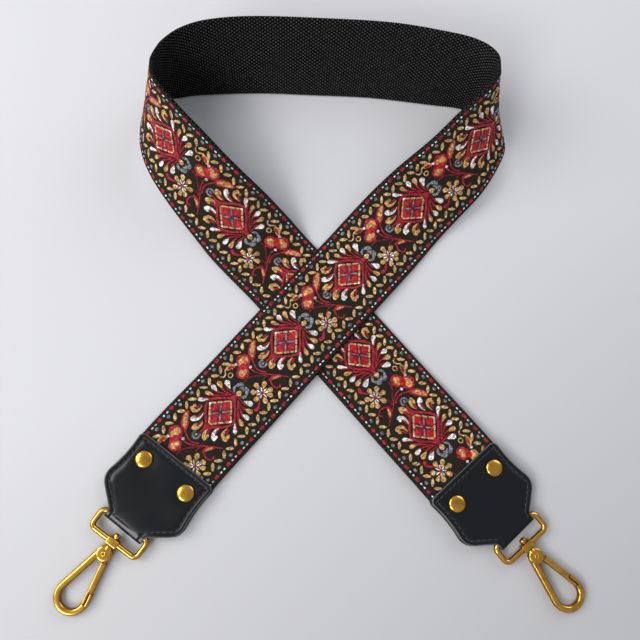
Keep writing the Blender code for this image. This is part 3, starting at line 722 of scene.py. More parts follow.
def tab_surface(x, y, lower):
    """The rounded edge, the relief above it, and the leather map: distances from the edge and along the seam."""
    points = np.column_stack([np.abs(x), np.full(len(x), y)])
    away = nearest_on_line(points, full_edge[:, ::-1])[0]
    relief = swell_height * np.sin(x / swell_along + 0.8) * math.sin(y / swell_across + 1.1)
    relief *= np.clip((away - swell_start) / swell_fade, 0, 1)
    if y < seam_end:
        relief -= seam_depth * groove(away - seam_inset, seam_half)
    if y < crease_end and not lower:
        relief -= crease_depth * groove(away - crease_inset, crease_half)
    for side in (-1, 1):
        gap = np.hypot(x - side * rivet_spacing / 2, y - rivet_inset) - dimple_rim
        relief -= dimple_depth * groove(np.clip(gap, 0, 1), dimple_fall)
    placed = np.column_stack([away, nearest_on_line(points, seam_line)[1]])
    return rounded_edge(away), relief * np.clip(away / MM, 0, 1), placed


def slack(y, height):
    """How far the face of the fold sags below its full height: a long soft fall towards the front."""
    share = np.clip((y - slack_start) / (tab_length - slack_start), 0, 1)
    wanted = slack_height * (1 - share**2.2) ** (1 / 2.2)
    return np.where(y > slack_start, np.minimum(wanted / np.maximum(height, 1e-6), 1), 1.0)


def leaf_line(places):
    """The middle of the upper leaf in profile, which opens into the tunnel, as (place, height) points."""
    share = np.clip((places - tunnel_back) / tunnel_slope + 1, 0, 1)
    gap = leaf_half_gap + (tunnel_radius - leaf_half_gap) * share * share * (3 - 2 * share)
    return list(zip(places, gap + leather_thickness / 2))


def leather_tab(side):
    """One leather piece, leaf, fold and leaf, with rounded edges, a pressed seam and sunk rivets."""
    rim = np.array([0, 0.06, 0.18, 0.36, 0.6, 0.95, 1.4, 1.9, 2.3, 2.8, 3.3, 3.9]) * MM
    leaf = leaf_line(np.concatenate([rim, np.arange(5.0, 41.0) * MM, np.arange(41.3, fold_centre / MM, 0.5) * MM]))
    fold = arc((fold_centre, 0), tunnel_radius + leather_thickness / 2, math.pi / 2, -math.pi / 2, math.radians(9))
    path = [(y, z, 0.0) for y, z in leaf] + [(y, z, math.atan2(y - fold_centre, z)) for y, z in fold]
    path += [(y, -z, math.pi) for y, z in leaf[::-1]]
    rings, maps = [], []
    for y, z, lean in path:
        lower = lean > 3
        bend = 0 < lean <= 3 or y > fold_centre - 1e-9
        half = fold_width / 2 if bend else leaf_outline_at(y) + lower * back_leaf_spread
        x = np.concatenate([half - rim, (half - rim[-1]) * (1 - np.linspace(0, 1, 9)[1:])])
        x = np.concatenate([x, -x[-2::-1]])
        if bend:
            away = half - np.abs(x)
            rounded, relief, placed = rounded_edge(away), 0 * x, np.column_stack([away, 0 * x])
        else:
            rounded, relief, placed = tab_surface(x, y, lower)
        normal = np.array([0, math.sin(lean), math.cos(lean)])
        centre = np.array([0, y, z])
        base = centre + np.outer(x, [1, 0, 0])
        top, inside = base + normal * rounded[:, None], base - normal * rounded[:, None]
        if z > 0:
            crown = centre + normal * leather_thickness / 2
            sag = slack(crown[1], crown[2])
            top[:, 2] *= sag
            inside[:, 2] *= sag
        rings.append(np.concatenate([top + normal * relief[:, None], inside[::-1]]) + (0, 0, tab_middle))
        maps.append(np.concatenate([placed, placed * (0, 1)]))
    faces = [face[::-1] for face in skin_faces(len(rings), len(rings[0]))]
    piece = make_piece(
        side + "_tab_leather", moved(np.concatenate(rings), tab_frames[side]), faces, looks["leather"],
        uv=np.concatenate(maps), map_name="EdgeMap",
    )
    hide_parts(side + "_tab")


def seam_places():
    """Points and headings of the stitches along the seam, (x, y, heading)."""
    both = np.concatenate([seam_line[::-1] * (-1, 1), seam_line[1:]])
    length = running_length(both)
    places = (np.arange(2 * stitch_count) + 0.5) * stitch_pitch
    x, y = (np.interp(places, length, both[:, k]) for k in (0, 1))
    dx, dy = (np.interp(places + 0.0005, length, both[:, k]) - v for k, v in ((0, x), (1, y)))
    return np.column_stack([x, y, np.arctan2(dy, dx)])


def stitches(side):
    """Every stitch of a tab, on its face and on its back, as short plump threads that dive at both ends."""
    share = np.linspace(-1, 1, 8)
    lift = leaf_half_gap + leather_thickness - stitch_sunk
    rise = stitch_crown - stitch_dive * share**4
    width = stitch_radius * np.sqrt(np.clip(1.02 - share**6, 0, 1))
    points, faces = [], []
    for x, y, heading in seam_places():
        for face in (1, -1):
            top = lift * (float(slack(y, slack_height)) if face > 0 else 1.0)
            lean = heading + stitch_slant * face
            along = np.array([math.cos(lean), math.sin(lean), 0])
            aside = np.array([-math.sin(lean), math.cos(lean), 0])
            line = (x, y, tab_middle) + np.outer(stitch_half * share, along) + np.outer(top + rise, (0, 0, face))
            faces += grid_faces(len(share), stitch_sides, first=len(points) * len(share) * stitch_sides, wrap=True)
            points.append(round_rings(line, width, aside, (0, 0, face), stitch_sides).reshape(-1, 3))
    cloud = moved(np.concatenate(points), tab_frames[side])
    make_piece(side + "_tab_stitches", cloud, faces, looks["stitch"])


# The ribbon's pattern, in millimetres along and across one repeat
thread_marks = {colour: [] for colour in silk_colours}
medallions = [
    (33.6, 0), (87.6, 1), (142.5, 2), (197.6, 3), (252.5, 4), (595.4, 10), (650.2, 11), (705.0, 12), (759.9, 13),
]
repeat_length = 54.2
first_medallion = 33.6
pattern_middle = 0.9
thread_fullness = 0.92
end_overlap = 2.5
mark_step = 0.55
raggedness = 0.14
thread_base, level_rise, thread_rise = 0.02, 0.045, 0.17
full_rise_width = 0.5
chance = np.random.default_rng(5)


def smooth_line(points, shares):
    """Points at the given shares of a line's length, curved if more than two points are given."""
    points = np.array(points, float)
    if len(points) == 2:
        return points[0] + (points[1] - points[0]) * shares[:, None]
    knots = running_length(points)
    return along_curve(knots, points, natural_slopes(knots, points), shares * knots[-1])


def rounded_fall(u, head):
    """Full at the head's share of the length, round before it and thinning after it."""
    front = np.sqrt(np.clip(1 - ((head - u) / head) ** 2, 0, 1))
    return np.where(u < head, front, np.clip(1 - (np.maximum(u - head, 0) / (1.04 - head)) ** 1.4, 0.12, 1))


forms = {
    "leaf": lambda u: (4 * u * (1 - u)) ** 0.6,
    "oval": lambda u: np.sqrt(np.clip(4 * u * (1 - u), 0, 1)),
    "drop": lambda u: rounded_fall(u, 0.3),
    "tail": lambda u: rounded_fall(u, 0.12),
    "stem": lambda u: np.clip(np.minimum(u, 1 - u) / 0.08 + 0.5, 0, 1),
    "thorn": lambda u: 1 - 0.85 * u,
    "gem": lambda u: 1 - np.abs(2 * u - 1),
    "dash": lambda u: np.clip(np.minimum(u, 1 - u) / 0.12 + 0.55, 0, 1),
}
round_ended = ("leaf", "oval", "drop", "tail")


def mark(colour, form, half_width, level, *points):
    """A stitched mark of one repeat: a line through its points with its form's half width."""
    length = sum(math.dist(a, b) for a, b in zip(points, points[1:]))
    count = max(5, min(18, round(length / mark_step) + 2))
    shares = np.linspace(0, 1, count)
    if form in round_ended:
        shares = (1 - np.cos(shares * math.pi)) / 2
    spine = smooth_line(points, shares)
    run = unit(np.gradient(spine, axis=0))
    ragged = 1 + raggedness * chance.uniform(-1, 1, count)
    side = np.column_stack([-run[:, 1], run[:, 0]])
    thread_marks[colour].append((spine, side, forms[form](shares) * half_width * ragged, level))


def marks_round(x, y, *marks):
    """Marks whose points are given from a middle."""
    for colour, form, half_width, level, *points in marks:
        mark(colour, form, half_width, level, *[(x + along, y + across) for along, across in points])


def mirrored_mark(colour, form, half_width, level, *points):
    """The same mark on both sides of the pattern's middle."""
    mark(colour, form, half_width, level, *points)
    mark(colour, form, half_width, level, *[(x, 2 * pattern_middle - y) for x, y in points])


def border_marks():
    """Both borders of one repeat: dashes, dots and the chevrons of leaves."""
    pitch = repeat_length / 6
    for k in range(6):
        for edge in (1, -1):
            at = 7.5 + k * pitch + 0.65 * edge
            line = 22.2 * edge + 0.15
            mark("crimson", "dash", 0.98, 0, (at - 1.35, line), (at + 1.35, line + 0.1))
            for step in (-3.2, 3.2):
                mark("cream", "oval", 0.52, 0, (at + step - 0.75, line), (at + step + 0.75, line))
            dot, low = at + pitch / 2, 19.85 * edge + 0.4
            mark("slate", "oval", 1.05, 0, (dot - 1.1, low), (dot + 1.1, low))
            for way in (-1, 1):
                foot, top = (at + way * 3.9, 15.4 * edge + 0.35), (at + way * 0.6, 18.7 * edge + 0.4)
                mark("tan", "leaf", 1.02, 0, foot, top)


def medallion_marks():
    """The lozenge with its pointed outline, broken inner line and four fields round a cross of petals."""
    middle = 33.5, pattern_middle
    quarter = [
        ("crimson", "stem", 0.70, 2, (13.2, 0.1), (10.2, 1.4), (6.7, 4.9), (3.3, 8.0), (0.0, 9.7)),
        ("tan", "dash", 0.56, 4, (8.6, 0.25), (5.7, 2.85)),
        ("tan", "dash", 0.56, 4, (5.3, 3.2), (3.0, 5.25)),
        ("tan", "dash", 0.56, 4, (2.6, 5.6), (0.6, 7.4)),
        ("crimson", "stem", 0.34, 3, (7.5, 0.1), (0.1, 6.5)),
        ("slate", "leaf", 0.56, 4, (0.6, 0.5), (4.0, 3.4)),
    ]
    marks_round(*middle, ("wine", "gem", 9.2, 0, (-10.6, 0), (10.6, 0)))
    for sx in (-1, 1):
        marks_round(*middle, ("red", "gem", 2.7, 2, (1.5 * sx, 0), (7.9 * sx, 0)))
        marks_round(*middle, ("red", "gem", 2.35, 2, (-2.9, 4.1 * sx), (2.9, 4.1 * sx)))
        for sy in (-1, 1):
            marks_round(*middle, *[(*row[:4], *[(x * sx, y * sy) for x, y in row[4:]]) for row in quarter])
    for sy in (-1, 1):
        marks_round(*middle, ("cream", "oval", 0.75, 5, (-0.85, 7.7 * sy), (0.85, 7.7 * sy)))
    marks_round(*middle, ("crimson", "thorn", 1.3, 2, (-9.4, 0), (-13.8, 0.1)))
    marks_round(*middle, ("crimson", "thorn", 1.2, 2, (9.4, 0), (13.4, -0.2)))


def crescent_marks():
    """The crescents with the short second lobe of their heads and their cores, and the bud on the left."""
    crescents = [
        ("gold", 1.3, [(25.6, 15.0), (24.4, 13.3), (25.1, 11.5), (27.2, 10.8), (29.7, 11.1)],
         [(25.4, 14.4), (27.8, 13.9)], [(26.2, 13.0), (27.6, 12.3), (29.6, 12.0)]),
        ("cream", 1.2, [(20.4, 11.0), (21.0, 9.0), (22.6, 7.6), (24.8, 7.2), (27.2, 7.9)],
         [(20.8, 10.2), (22.9, 9.6)], [(22.5, 9.0), (24.4, 8.4), (26.6, 8.6)]),
        ("gold", 1.35, [(17.3, 7.0), (17.7, 5.2), (19.6, 4.1), (21.6, 4.0), (23.6, 4.7)],
         [(18.0, 6.6), (20.6, 6.0)], [(19.6, 5.9), (21.6, 5.4), (23.4, 5.5)]),
        ("gold", 1.35, [(17.4, -3.6), (17.6, -1.8), (19.4, -0.6), (21.6, -0.3), (24.0, -0.8)],
         [(17.8, -3.2), (20.4, -2.8)], [(19.8, -2.4), (21.6, -1.7), (24.0, -1.7)]),
        ("cream", 1.3, [(20.4, -7.8), (20.9, -5.8), (22.6, -4.4), (24.8, -4.1), (27.2, -4.6)],
         [(20.8, -7.2), (23.0, -6.6)], [(22.5, -6.0), (24.4, -5.2), (26.8, -5.2)]),
        ("gold", 1.45, [(25.2, -12.6), (24.4, -10.6), (25.2, -8.8), (27.2, -8.0), (29.8, -8.0)],
         [(25.4, -12.0), (27.8, -11.2)], [(26.8, -10.4), (28.2, -9.4), (30.0, -9.0)]),
    ]
    for colour, half, curve, lobe, core in crescents:
        mark(colour, "tail", half, 0, *curve)
        mark(colour, "oval", 0.7 * half, 0, *lobe)
        mark("crimson", "leaf", 0.48, 1, *core)
    mark("slate", "stem", 0.62, 0, (17.2, 3.4), (15.2, 4.1), (13.8, 2.8), (14.2, 1.0), (16.0, 0.3), (17.6, 0.9))
    mark("slate", "oval", 0.7, 1, (14.8, 2.4), (16.8, 2.2))
    mark("crimson", "stem", 0.38, 1, (17.0, 1.6), (19.2, 1.5), (21.6, 1.5))


def fan_marks():
    """The drops that stand round the medallion's right half, on stems from its outline."""
    drops = [
        ("cream", 1.35, [(30.4, 15.3), (32.0, 13.4), (34.6, 10.9)], [(32.2, 14.6), (33.8, 12.6), (35.6, 10.6)]),
        ("gold", 1.3, [(36.2, 15.2), (37.0, 13.4), (38.3, 10.8)], [(36.0, 12.6), (37.6, 10.6), (40.4, 7.6)]),
        ("cream", 1.6, [(41.3, 15.2), (41.3, 13.0), (40.7, 10.4)], [(40.0, 13.2), (40.6, 11.0), (41.6, 8.4)]),
        ("gold", 1.55, [(45.4, 14.2), (45.0, 12.2), (44.0, 9.2)], [(44.0, 11.2), (43.9, 9.0), (44.0, 6.4)]),
        ("cream", 1.75, [(48.9, 11.2), (48.2, 9.2), (47.0, 6.2)], [(46.9, 9.6), (46.1, 7.6), (46.0, 5.2)]),
    ]
    for colour, half, drop, edge in drops:
        mirrored_mark(colour, "drop", half, 0, *drop)
        mirrored_mark("crimson", "leaf", 0.44, 1, *edge)
    mirrored_mark("crimson", "stem", 0.27, 0, (38.4, 10.6), (40.6, 7.8), (43.4, 4.6))
    mirrored_mark("crimson", "stem", 0.27, 0, (41.0, 10.8), (42.2, 7.8), (44.4, 3.8))
    mirrored_mark("crimson", "stem", 0.27, 0, (43.9, 8.8), (44.2, 6.2), (45.2, 3.0))
    mirrored_mark("crimson", "stem", 0.27, 0, (46.2, 6.6), (46.2, 4.6), (46.4, 2.4))


def ball_marks():
    """The golden ball in its broken ring of slate leaves."""
    mark("slate", "leaf", 1.25, 0, (50.2, 4.6), (52.6, 3.6), (53.6, 1.4))
    mark("slate", "leaf", 1.25, 0, (53.5, 0.6), (52.6, -1.6), (50.4, -2.6))
    mark("slate", "leaf", 0.9, 1, (50.4, 2.4), (52.0, 1.0), (50.6, -0.6))
    mark("slate", "leaf", 0.85, 0, (47.2, 2.9), (48.6, 4.6), (50.6, 5.0))
    mark("slate", "leaf", 0.95, 0, (47.3, -1.4), (48.8, -2.9), (51.2, -3.0))
    mark("gold", "oval", 1.6, 2, (46.8, 0.7), (50.2, 0.7))
    mark("cream", "oval", 0.45, 3, (47.5, 1.6), (48.8, 1.7))


def flower_marks():
    """Seven petals by turns in two golds round a crimson eye, with a pale line after each."""
    middle = 57.4, -8.8
    petals = [(80, 2.4, 7.0), (127, 2.3, 6.6), (178, 2.2, 6.3), (243, 2.3, 6.2), (297, 2.2, 6.2), (334, 2.2, 6.4)]
    for k, (angle, near, far) in enumerate([*petals, (30, 2.3, 6.8)]):
        for colour, form, half, level, turn, start, end in (
            (("gold", "tan")[k % 2], "drop", 1.62, 0, 0, far, near), ("cream", "leaf", 0.46, 1, 25, 0.9, 3.5),
        ):
            x, y = math.cos(math.radians(angle + turn)), math.sin(math.radians(angle + turn))
            marks_round(*middle, (colour, form, half, level, (start * x, start * y), (end * x, end * y)))
    marks_round(*middle, ("crimson", "oval", 1.15, 2, (-1.2, 0), (1.2, 0)))
    mark("crimson", "tail", 1.25, 0, (47.2, -12.0), (49.4, -13.0), (51.4, -12.0), (53.8, -10.2))


def fruit_marks():
    """The pomegranate: two outlined golden lobes with a red core between them."""
    for cx, cy, half, way in ((58.5, 7.1, 3.8, -1), (63.4, 11.4, 4.1, 1)):
        inner = half - 1.05
        marks_round(cx, cy, ("crimson", "oval", half, 1, (-half, 0), (half, 0)))
        marks_round(cx, cy, ("gold", "oval", inner, 2, (-inner, 0), (inner, 0)))
        for turn in (-0.62, 0.62):
            lean = math.radians(43) + turn
            x, y = inner * math.cos(lean) * way, inner * math.sin(lean) * way
            marks_round(cx, cy, ("crimson", "leaf", 0.34, 3, (0.1 * x, 0.1 * y), (x, y)))
    mark("red", "oval", 2.35, 4, (59.0, 9.2), (63.2, 9.2))
    mark("wine", "leaf", 0.34, 5, (59.5, 10.6), (60.4, 9.0), (61.4, 7.4))
    mark("wine", "leaf", 0.34, 5, (60.8, 11.2), (61.7, 9.6), (62.7, 8.0))
    mark("cream", "oval", 0.95, 2, (58.5, 13.1), (60.2, 13.1))
    mark("cream", "oval", 1.0, 2, (62.8, 6.0), (64.6, 6.0))


def vine_marks():
    """Stems, curls and leaves that fill the space between the flower, the fruit and the next repeat."""
    mark("crimson", "leaf", 2.3, 1, (67.6, 8.0), (70.8, 11.6), (76.6, 15.0))
    mark("gold", "leaf", 1.75, 2, (68.4, 9.0), (71.6, 12.2), (76.0, 14.6))
    mark("crimson", "leaf", 0.26, 4, (69.6, 10.0), (71.6, 11.8), (73.6, 12.9))
    mark("crimson", "leaf", 0.24, 4, (71.0, 13.0), (72.6, 13.8), (74.4, 14.2))
    mark("crimson", "stem", 0.40, 0, (63.1, 6.4), (63.3, 3.3), (64.4, 0.2), (67.6, -4.2), (71.0, -9.0), (74.2, -13.6))
    mark("crimson", "stem", 0.40, 0, (67.7, 9.0), (66.4, 5.8), (65.5, 3.2), (65.9, 0.4), (67.6, -2.4))
    mark("wine", "stem", 0.45, 0, (54.9, 2.8), (58.3, 2.8), (61.2, 1.0), (64.6, -2.0), (67.6, -4.8))
    mark("wine", "stem", 0.32, 0, (62.6, -4.6), (64.8, -3.8), (67.0, -4.6))
    mark("crimson", "leaf", 1.35, 1, (65.0, -6.8), (68.4, -7.7), (72.2, -10.8))
    mark("gold", "leaf", 0.85, 2, (66.6, -7.6), (69.0, -8.5), (71.2, -9.9))
    mark("crimson", "stem", 0.46, 0, (65.9, -7.4), (64.6, -9.8), (64.9, -12.4), (66.6, -13.7), (68.0, -12.8))
    mark("tan", "stem", 0.4, 0, (48.2, 15.0), (49.2, 13.4), (51.2, 13.8), (52.5, 15.2), (54.6, 15.4))
    mark("tan", "stem", 0.38, 0, (52.6, 12.6), (54.0, 11.6), (53.4, 10.2), (51.9, 10.2), (51.4, 11.5), (52.6, 12.6))
    mark("gold", "leaf", 1.65, 1, (53.2, 14.9), (55.8, 14.6), (58.6, 12.9))
    mark("crimson", "leaf", 1.1, 2, (53.9, 14.7), (55.8, 14.3), (57.8, 13.1))


def pattern_threads():
    """Lays every repeat's marks on the ribbon, one raised piece for each thread colour."""
    for draw in (
        border_marks, medallion_marks, crescent_marks, fan_marks, ball_marks, flower_marks, fruit_marks, vine_marks,
    ):
        draw()
    mark_s, mark_phase = np.array(medallions).T
    lanes = np.array([-1, -0.72, 0, 0.72, 1])
    crown = np.array([-0.3, 0.8, 1, 0.8, -0.3])
    made = []
    for colour, marks in thread_marks.items():
        points, faces, maps, first = [], [], [], 0
        for k in range(-1, 15):
            for spine, side, half, level in marks:
                wide = thread_fullness * half[:, None] * lanes
                along, across = np.moveaxis(spine[:, None] + side[:, None] * wide[..., None], -1, 0)
                phase = k + (along - first_medallion) / repeat_length
                s = np.interp(phase, mark_phase, mark_s)
                s += np.minimum(phase - mark_phase[0], 0) * repeat_length
                s += np.maximum(phase - mark_phase[-1], 0) * repeat_length
                if s.min() < -end_overlap or s.max() > free_length / MM + end_overlap:
                    continue
                rise = thread_rise * crown * np.minimum(1, half[:, None] / full_rise_width)
                height = ribbon_top + (thread_base + level_rise * level + rise) * MM
                points.append(on_band(s * MM, across * MM, height).reshape(-1, 3))
                maps.append(np.stack([s * MM, across * MM], -1).reshape(-1, 2))
                faces += grid_faces(*s.shape, first=first)
                first += s.size
        cloud, uv = np.concatenate(points), np.concatenate(maps)
        made.append(make_piece(colour + "_threads", cloud, faces, looks[colour], uv=uv))
    return made


# Metal, in the hook's own plane in millimetres: the pin at the origin, +Y to the tip, the gate on the -X side
ring_back = 18.15
ring_half = 15.0
ring_depth = 11.15
ring_corner = 3.0
ring_wire = 1.6
collar_half, collar_reach, collar_rise = 3.5, 2.1, 2.5
hook_length = 26.5
rod_half = 1.9
rod_rise = 2.0
bend_turn = 7.8
head_turn = 2.4
fork_half = 1.5
web_outer, web_inner = 4.25, 2.7
ear_turn = 2.5
gate_lean = math.radians(12.4)
gate_side = (-3.8, -0.3)
gate_middle = -2.05
gate_rise = 1.7
gate_fork = 1.3
ear_inner = 0.8
lap_place = 0.15
nose_tip = 21.0
nose_root = 27.1
tongue_tip = 26.8
coil_turn = 1.4
coil_pitch = 0.44
spring_leg = 3.0
spring_half = 0.15
spring_span = (math.radians(8), gate_lean - math.pi - math.tau)
sharp_from = math.radians(38)


def rounded_section(low, high, half, edge):
    """A rectangle from low to high across and half as high both ways, with rounded corners."""
    left, right, top = low + edge, high - edge, half - edge
    section = []
    for i, corner in enumerate([(right, -top), (right, top), (left, top), (left, -top)]):
        section += arc(corner, edge, (i - 1) * math.pi / 2, i * math.pi / 2, math.radians(18))
    return section


def layered(rings, closed=False):
    """A closed body through rings of as many points each."""
    rings = np.array(rings, float)
    if closed:
        rings = np.concatenate([rings, rings[:1]])
    count, sides = rings.shape[:2]
    faces = grid_faces(count, sides, wrap=True) if closed else skin_faces(count, sides)
    return rings.reshape(-1, 3), faces


def swept(line, section, closed=False):
    """The section carried square along a flat line."""
    line = np.array(line, float)
    run = unit(np.roll(line, -1, axis=0) - np.roll(line, 1, axis=0) if closed else np.gradient(line, axis=0))
    return layered([[(x + v * a, y - u * a, h) for a, h in section] for (x, y), (u, v) in zip(line, run)], closed)


def turned(profile, upright=True, sides=40):
    """A round body turned about Z, or about Y, from (radius, height) points."""
    middle = [(0, 0, height) if upright else (0, height, 0) for _, height in profile]
    radii = [radius for radius, _ in profile]
    return layered(round_rings(np.array(middle, float), radii, (1, 0, 0), (0, 1, 0) if upright else (0, 0, 1), sides))


def mirrored(profile):
    """The same profile on the other side of the middle, in an order that goes on from it."""
    return [(radius, -height) for radius, height in profile[::-1]]


def slab(outline, low, high, edge=0.0):
    """A flat body with rounded rims from an outline that runs left about."""
    outline = np.array(outline, float)
    run = unit(np.roll(outline, -1, axis=0) - np.roll(outline, 1, axis=0))
    inward = np.column_stack([-run[:, 1], run[:, 0]])
    turns = np.linspace(0, math.pi / 2, 5) if edge else [0.0]
    steps = [(edge * (1 - math.sin(t)), low + edge * (1 - math.cos(t))) for t in turns]
    steps += [(inset, high + low - height) for inset, height in steps[::-1]]
    return layered([np.column_stack([outline + inward * inset, np.full(len(outline), h)]) for inset, h in steps])


def along_gate(across, place):
    """A place given across and along the leaning gate, in the hook's plane."""
    c, s = math.cos(gate_lean), math.sin(gate_lean)
    return across * c - place * s, across * s + place * c


def ring_bodies():
    """The rectangular ring of round wire, and the collar on its outer bar."""
    half, turn = ring_half - ring_corner, ring_corner
    centres = [(half, turn), (half, ring_depth - turn), (-half, ring_depth - turn), (-half, turn)]
    line = []
    for i, (x, y) in enumerate(centres):
        line += arc((x, y - ring_back), turn, (i - 1) * math.pi / 2, i * math.pi / 2)
    wire = [(ring_wire * math.cos(t), ring_wire * math.sin(t)) for t in np.arange(20) * math.tau / 20]
    collar = np.array(rounded_section(-collar_half, collar_half, collar_reach, 0.8)) + (0, ring_depth - ring_back)
    return [swept(line, wire, closed=True), slab(collar, -collar_rise, collar_rise, 0.6)]


def hook_bodies():
    """Spine, bend and stepped nose, the two cheeks with the web between them, and the neck."""
    flare = math.asin((bend_turn - head_turn) / hook_length)
    bend = arc((0, hook_length), bend_turn, -flare, math.pi + flare, math.radians(5))
    shoulder = [p for p in bend if p[0] > 0 or p[1] * math.cos(gate_lean) - p[0] * math.sin(gate_lean) > nose_root]
    nose = [shoulder[-1], *bend[len(shoulder):], along_gate(gate_middle, nose_tip)]
    start = (head_turn * math.cos(flare), -head_turn * math.sin(flare))
    cheek = [(0, fork_half), (4.15, fork_half), (4.3, 1.6), (4.24, 1.78), (4.05, 1.95), (3.78, 2.08), (3.4, 2.17)]
    cheek += [(2.9, 2.2), (0, 2.2)]
    web_end = math.tau + math.pi / 3
    web = arc((0, 0), web_outer, math.pi, web_end) + arc((0, 0), web_inner, web_end, math.pi)
    neck = [(0, -4.6), (2.05, -4.6), (2.3, -4.5), (2.4, -4.3), (2.4, -2.4), (0, -2.4)]
    return [
        swept([start, *shoulder], rounded_section(-rod_half, rod_half, rod_rise, 1.3)),
        swept(nose, rounded_section(lap_place, rod_half, rod_rise, 0.75)),
        turned(cheek),
        turned(mirrored(cheek)),
        slab(web, -fork_half, fork_half),
        turned(neck, upright=False),
    ]


def gate_bodies():
    """Two ears on the pin with the web behind them, the bar and the tongue that laps the nose."""
    low, high = gate_side
    bar_low, bar_high = low + 0.8, high - 0.8
    ear = arc((0, 0), ear_turn, math.pi, math.tau + math.pi / 4)
    ear += [(high, ear_turn), (high - 0.5, 4.9), (bar_low, 4.9)]
    back = [(-2.5, -0.4), (-1.8, -0.4), (-1.8, 4.9), (-2.5, 4.9)]
    root = [(bar_low, 4.3), (bar_high, 4.3), (bar_high, 5.2), (bar_low, 5.2)]
    bodies = [
        slab(ear, ear_inner, gate_fork),
        slab(ear, -gate_fork, -ear_inner),
        slab(back, -gate_fork, gate_fork),
        slab(root, -gate_fork, gate_fork),
        swept([(0, 4.65), (0, 12), (0, 20.6)], rounded_section(low, high, gate_rise, 0.95)),
        swept([(0, 20.3), (0, 24), (0, tongue_tip)], rounded_section(gate_middle + lap_place, high, gate_rise, 0.6)),
    ]
    return [(np.column_stack([*along_gate(cloud[:, 0], cloud[:, 1]), cloud[:, 2]]), faces) for cloud, faces in bodies]


def pin_bodies():
    """The gate's pin with a dished head at both ends."""
    rim = [(0.85, 2.3), (1.38, 2.3), (1.42, 2.44), (1.34, 2.58), (1.15, 2.68), (0.92, 2.7), (0.7, 2.63), (0.6, 2.5)]
    rim += [(0.6, 1.7), (0, 1.7)]
    return [turned(mirrored(rim) + rim)]


def stud_bodies():
    """The stud with its button head inside the ring."""
    profile = [(0, -11.0), (0.7, -11.1), (1.05, -11.5), (1.25, -11.6), (1.7, -11.58), (1.92, -11.48), (2.0, -11.3)]
    return [turned(profile + [(2.0, -9.55), (1.9, -9.4), (1.2, -9.4), (1.2, -4.2), (0, -4.2)], upright=False)]


def cap_bodies():
    """The domed face of a rivet cap, under its own top."""
    profile = [(0, -0.02), (1.2, -0.02), (2.2, -0.08), (3.1, -0.19), (3.8, -0.36), (4.25, -0.56), (4.55, -0.80)]
    profile += [(4.70, -1.02), (4.75, -1.20), (4.70, -1.34), (4.45, -1.42), (0, -1.40)]
    return [turned(profile, sides=56)]


def spring_bodies(angles, at_start):
    """A round wire along part of the coil, with the straight leg that leaves its first or its last point."""
    start, end = spring_span
    rise = coil_pitch * (start - end) / math.tau * ((angles - start) / (end - start) - 0.5)
    line = np.column_stack([coil_turn * np.cos(angles), coil_turn * np.sin(angles), rise])
    angle, foot, way = (start, line[0], 1) if at_start else (end, line[-1], -1)
    tip = foot + np.array([-math.sin(angle), math.cos(angle), 0]) * spring_leg * way
    line = np.concatenate([[tip], line] if at_start else [line, [tip]])
    run = unit(np.gradient(line, axis=0))
    out = unit(np.cross(run, (0, 0, 1)))
    return [layered(round_rings(line, spring_half, out, np.cross(out, run), 10))]


def casting(node, bodies, matrix, body, name="casting", look="brass"):
    """One metal piece from its bodies, placed by a matrix, for one solid of the hardware."""
    points, faces, first = [], [], 0
    for cloud, sides in bodies:
        faces += [[i + first for i in side] for side in sides]
        points.append(cloud)
        first += len(cloud)
    cloud = moved(np.concatenate(points) * MM, matrix)
    piece = make_piece(node + "_" + name, cloud, faces, looks[look], body=body)
    shape = bmesh.new()
    shape.from_mesh(piece.data)
    bmesh.ops.remove_doubles(shape, verts=shape.verts, dist=0.0000005)
    bmesh.ops.recalc_face_normals(shape, faces=shape.faces)
    shape.to_mesh(piece.data)
    shape.free()
    piece.data.shade_smooth()
    piece.data.set_sharp_from_angle(angle=sharp_from)
    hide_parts(node)


def finish_metal():
    """Castings and springs in the place of the hardware's solids, and a skin for the rivet posts."""
    joints = {joint["name"]: joint for joint in frame["joints"]}
    start, end = spring_span
    coil = spring_bodies(np.linspace(start, end, 60), True)
    leg = spring_bodies(np.linspace(end + math.radians(30), end, 7), False)
    for side in ("left", "right"):
        swivel, opening = joints[side + "_hook_swivel"], joints[side + "_gate_open"]
        along, up = np.array(swivel["axis"]), -np.array(opening["axis"])
        plane = np.eye(4)
        plane[:3, :3] = np.column_stack([np.cross(along, up), along, up])
        plane[:3, 3] = opening["pos_m"]
        for piece, bodies, body in (
            ("_ring", ring_bodies(), "_swivel_ring"),
            ("_hook", hook_bodies(), "_snap_hook"),
            ("_swivel_stud", stud_bodies(), "_snap_hook"),
            ("_gate_pin", pin_bodies(), "_snap_hook"),
            ("_gate", gate_bodies(), "_hook_gate"),
        ):
            casting(side + piece, bodies, plane, side + body)
        casting(side + "_gate_spring", coil, plane, side + "_snap_hook", "coil", "steel")
        casting(side + "_gate_spring", leg, plane, side + "_hook_gate", "leg", "steel")
        for number in ("1", "2"):
            low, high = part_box(side + "_rivet_cap_" + number)
            seat = Matrix.Translation(((low.x + high.x) / 2, (low.y + high.y) / 2, high.z))
            casting(side + "_rivet_cap_" + number, cap_bodies(), seat, "strap")
    for name, node in frame["nodes"].items():
        if "post" in name:
            node.data.materials.clear()
            node.data.materials.append(looks["brass"])
            node.data.shade_smooth()
            node.modifiers.new("weld", "WELD").merge_threshold = 0.000002
            node.modifiers.new("corners", "EDGE_SPLIT").split_angle = sharp_from


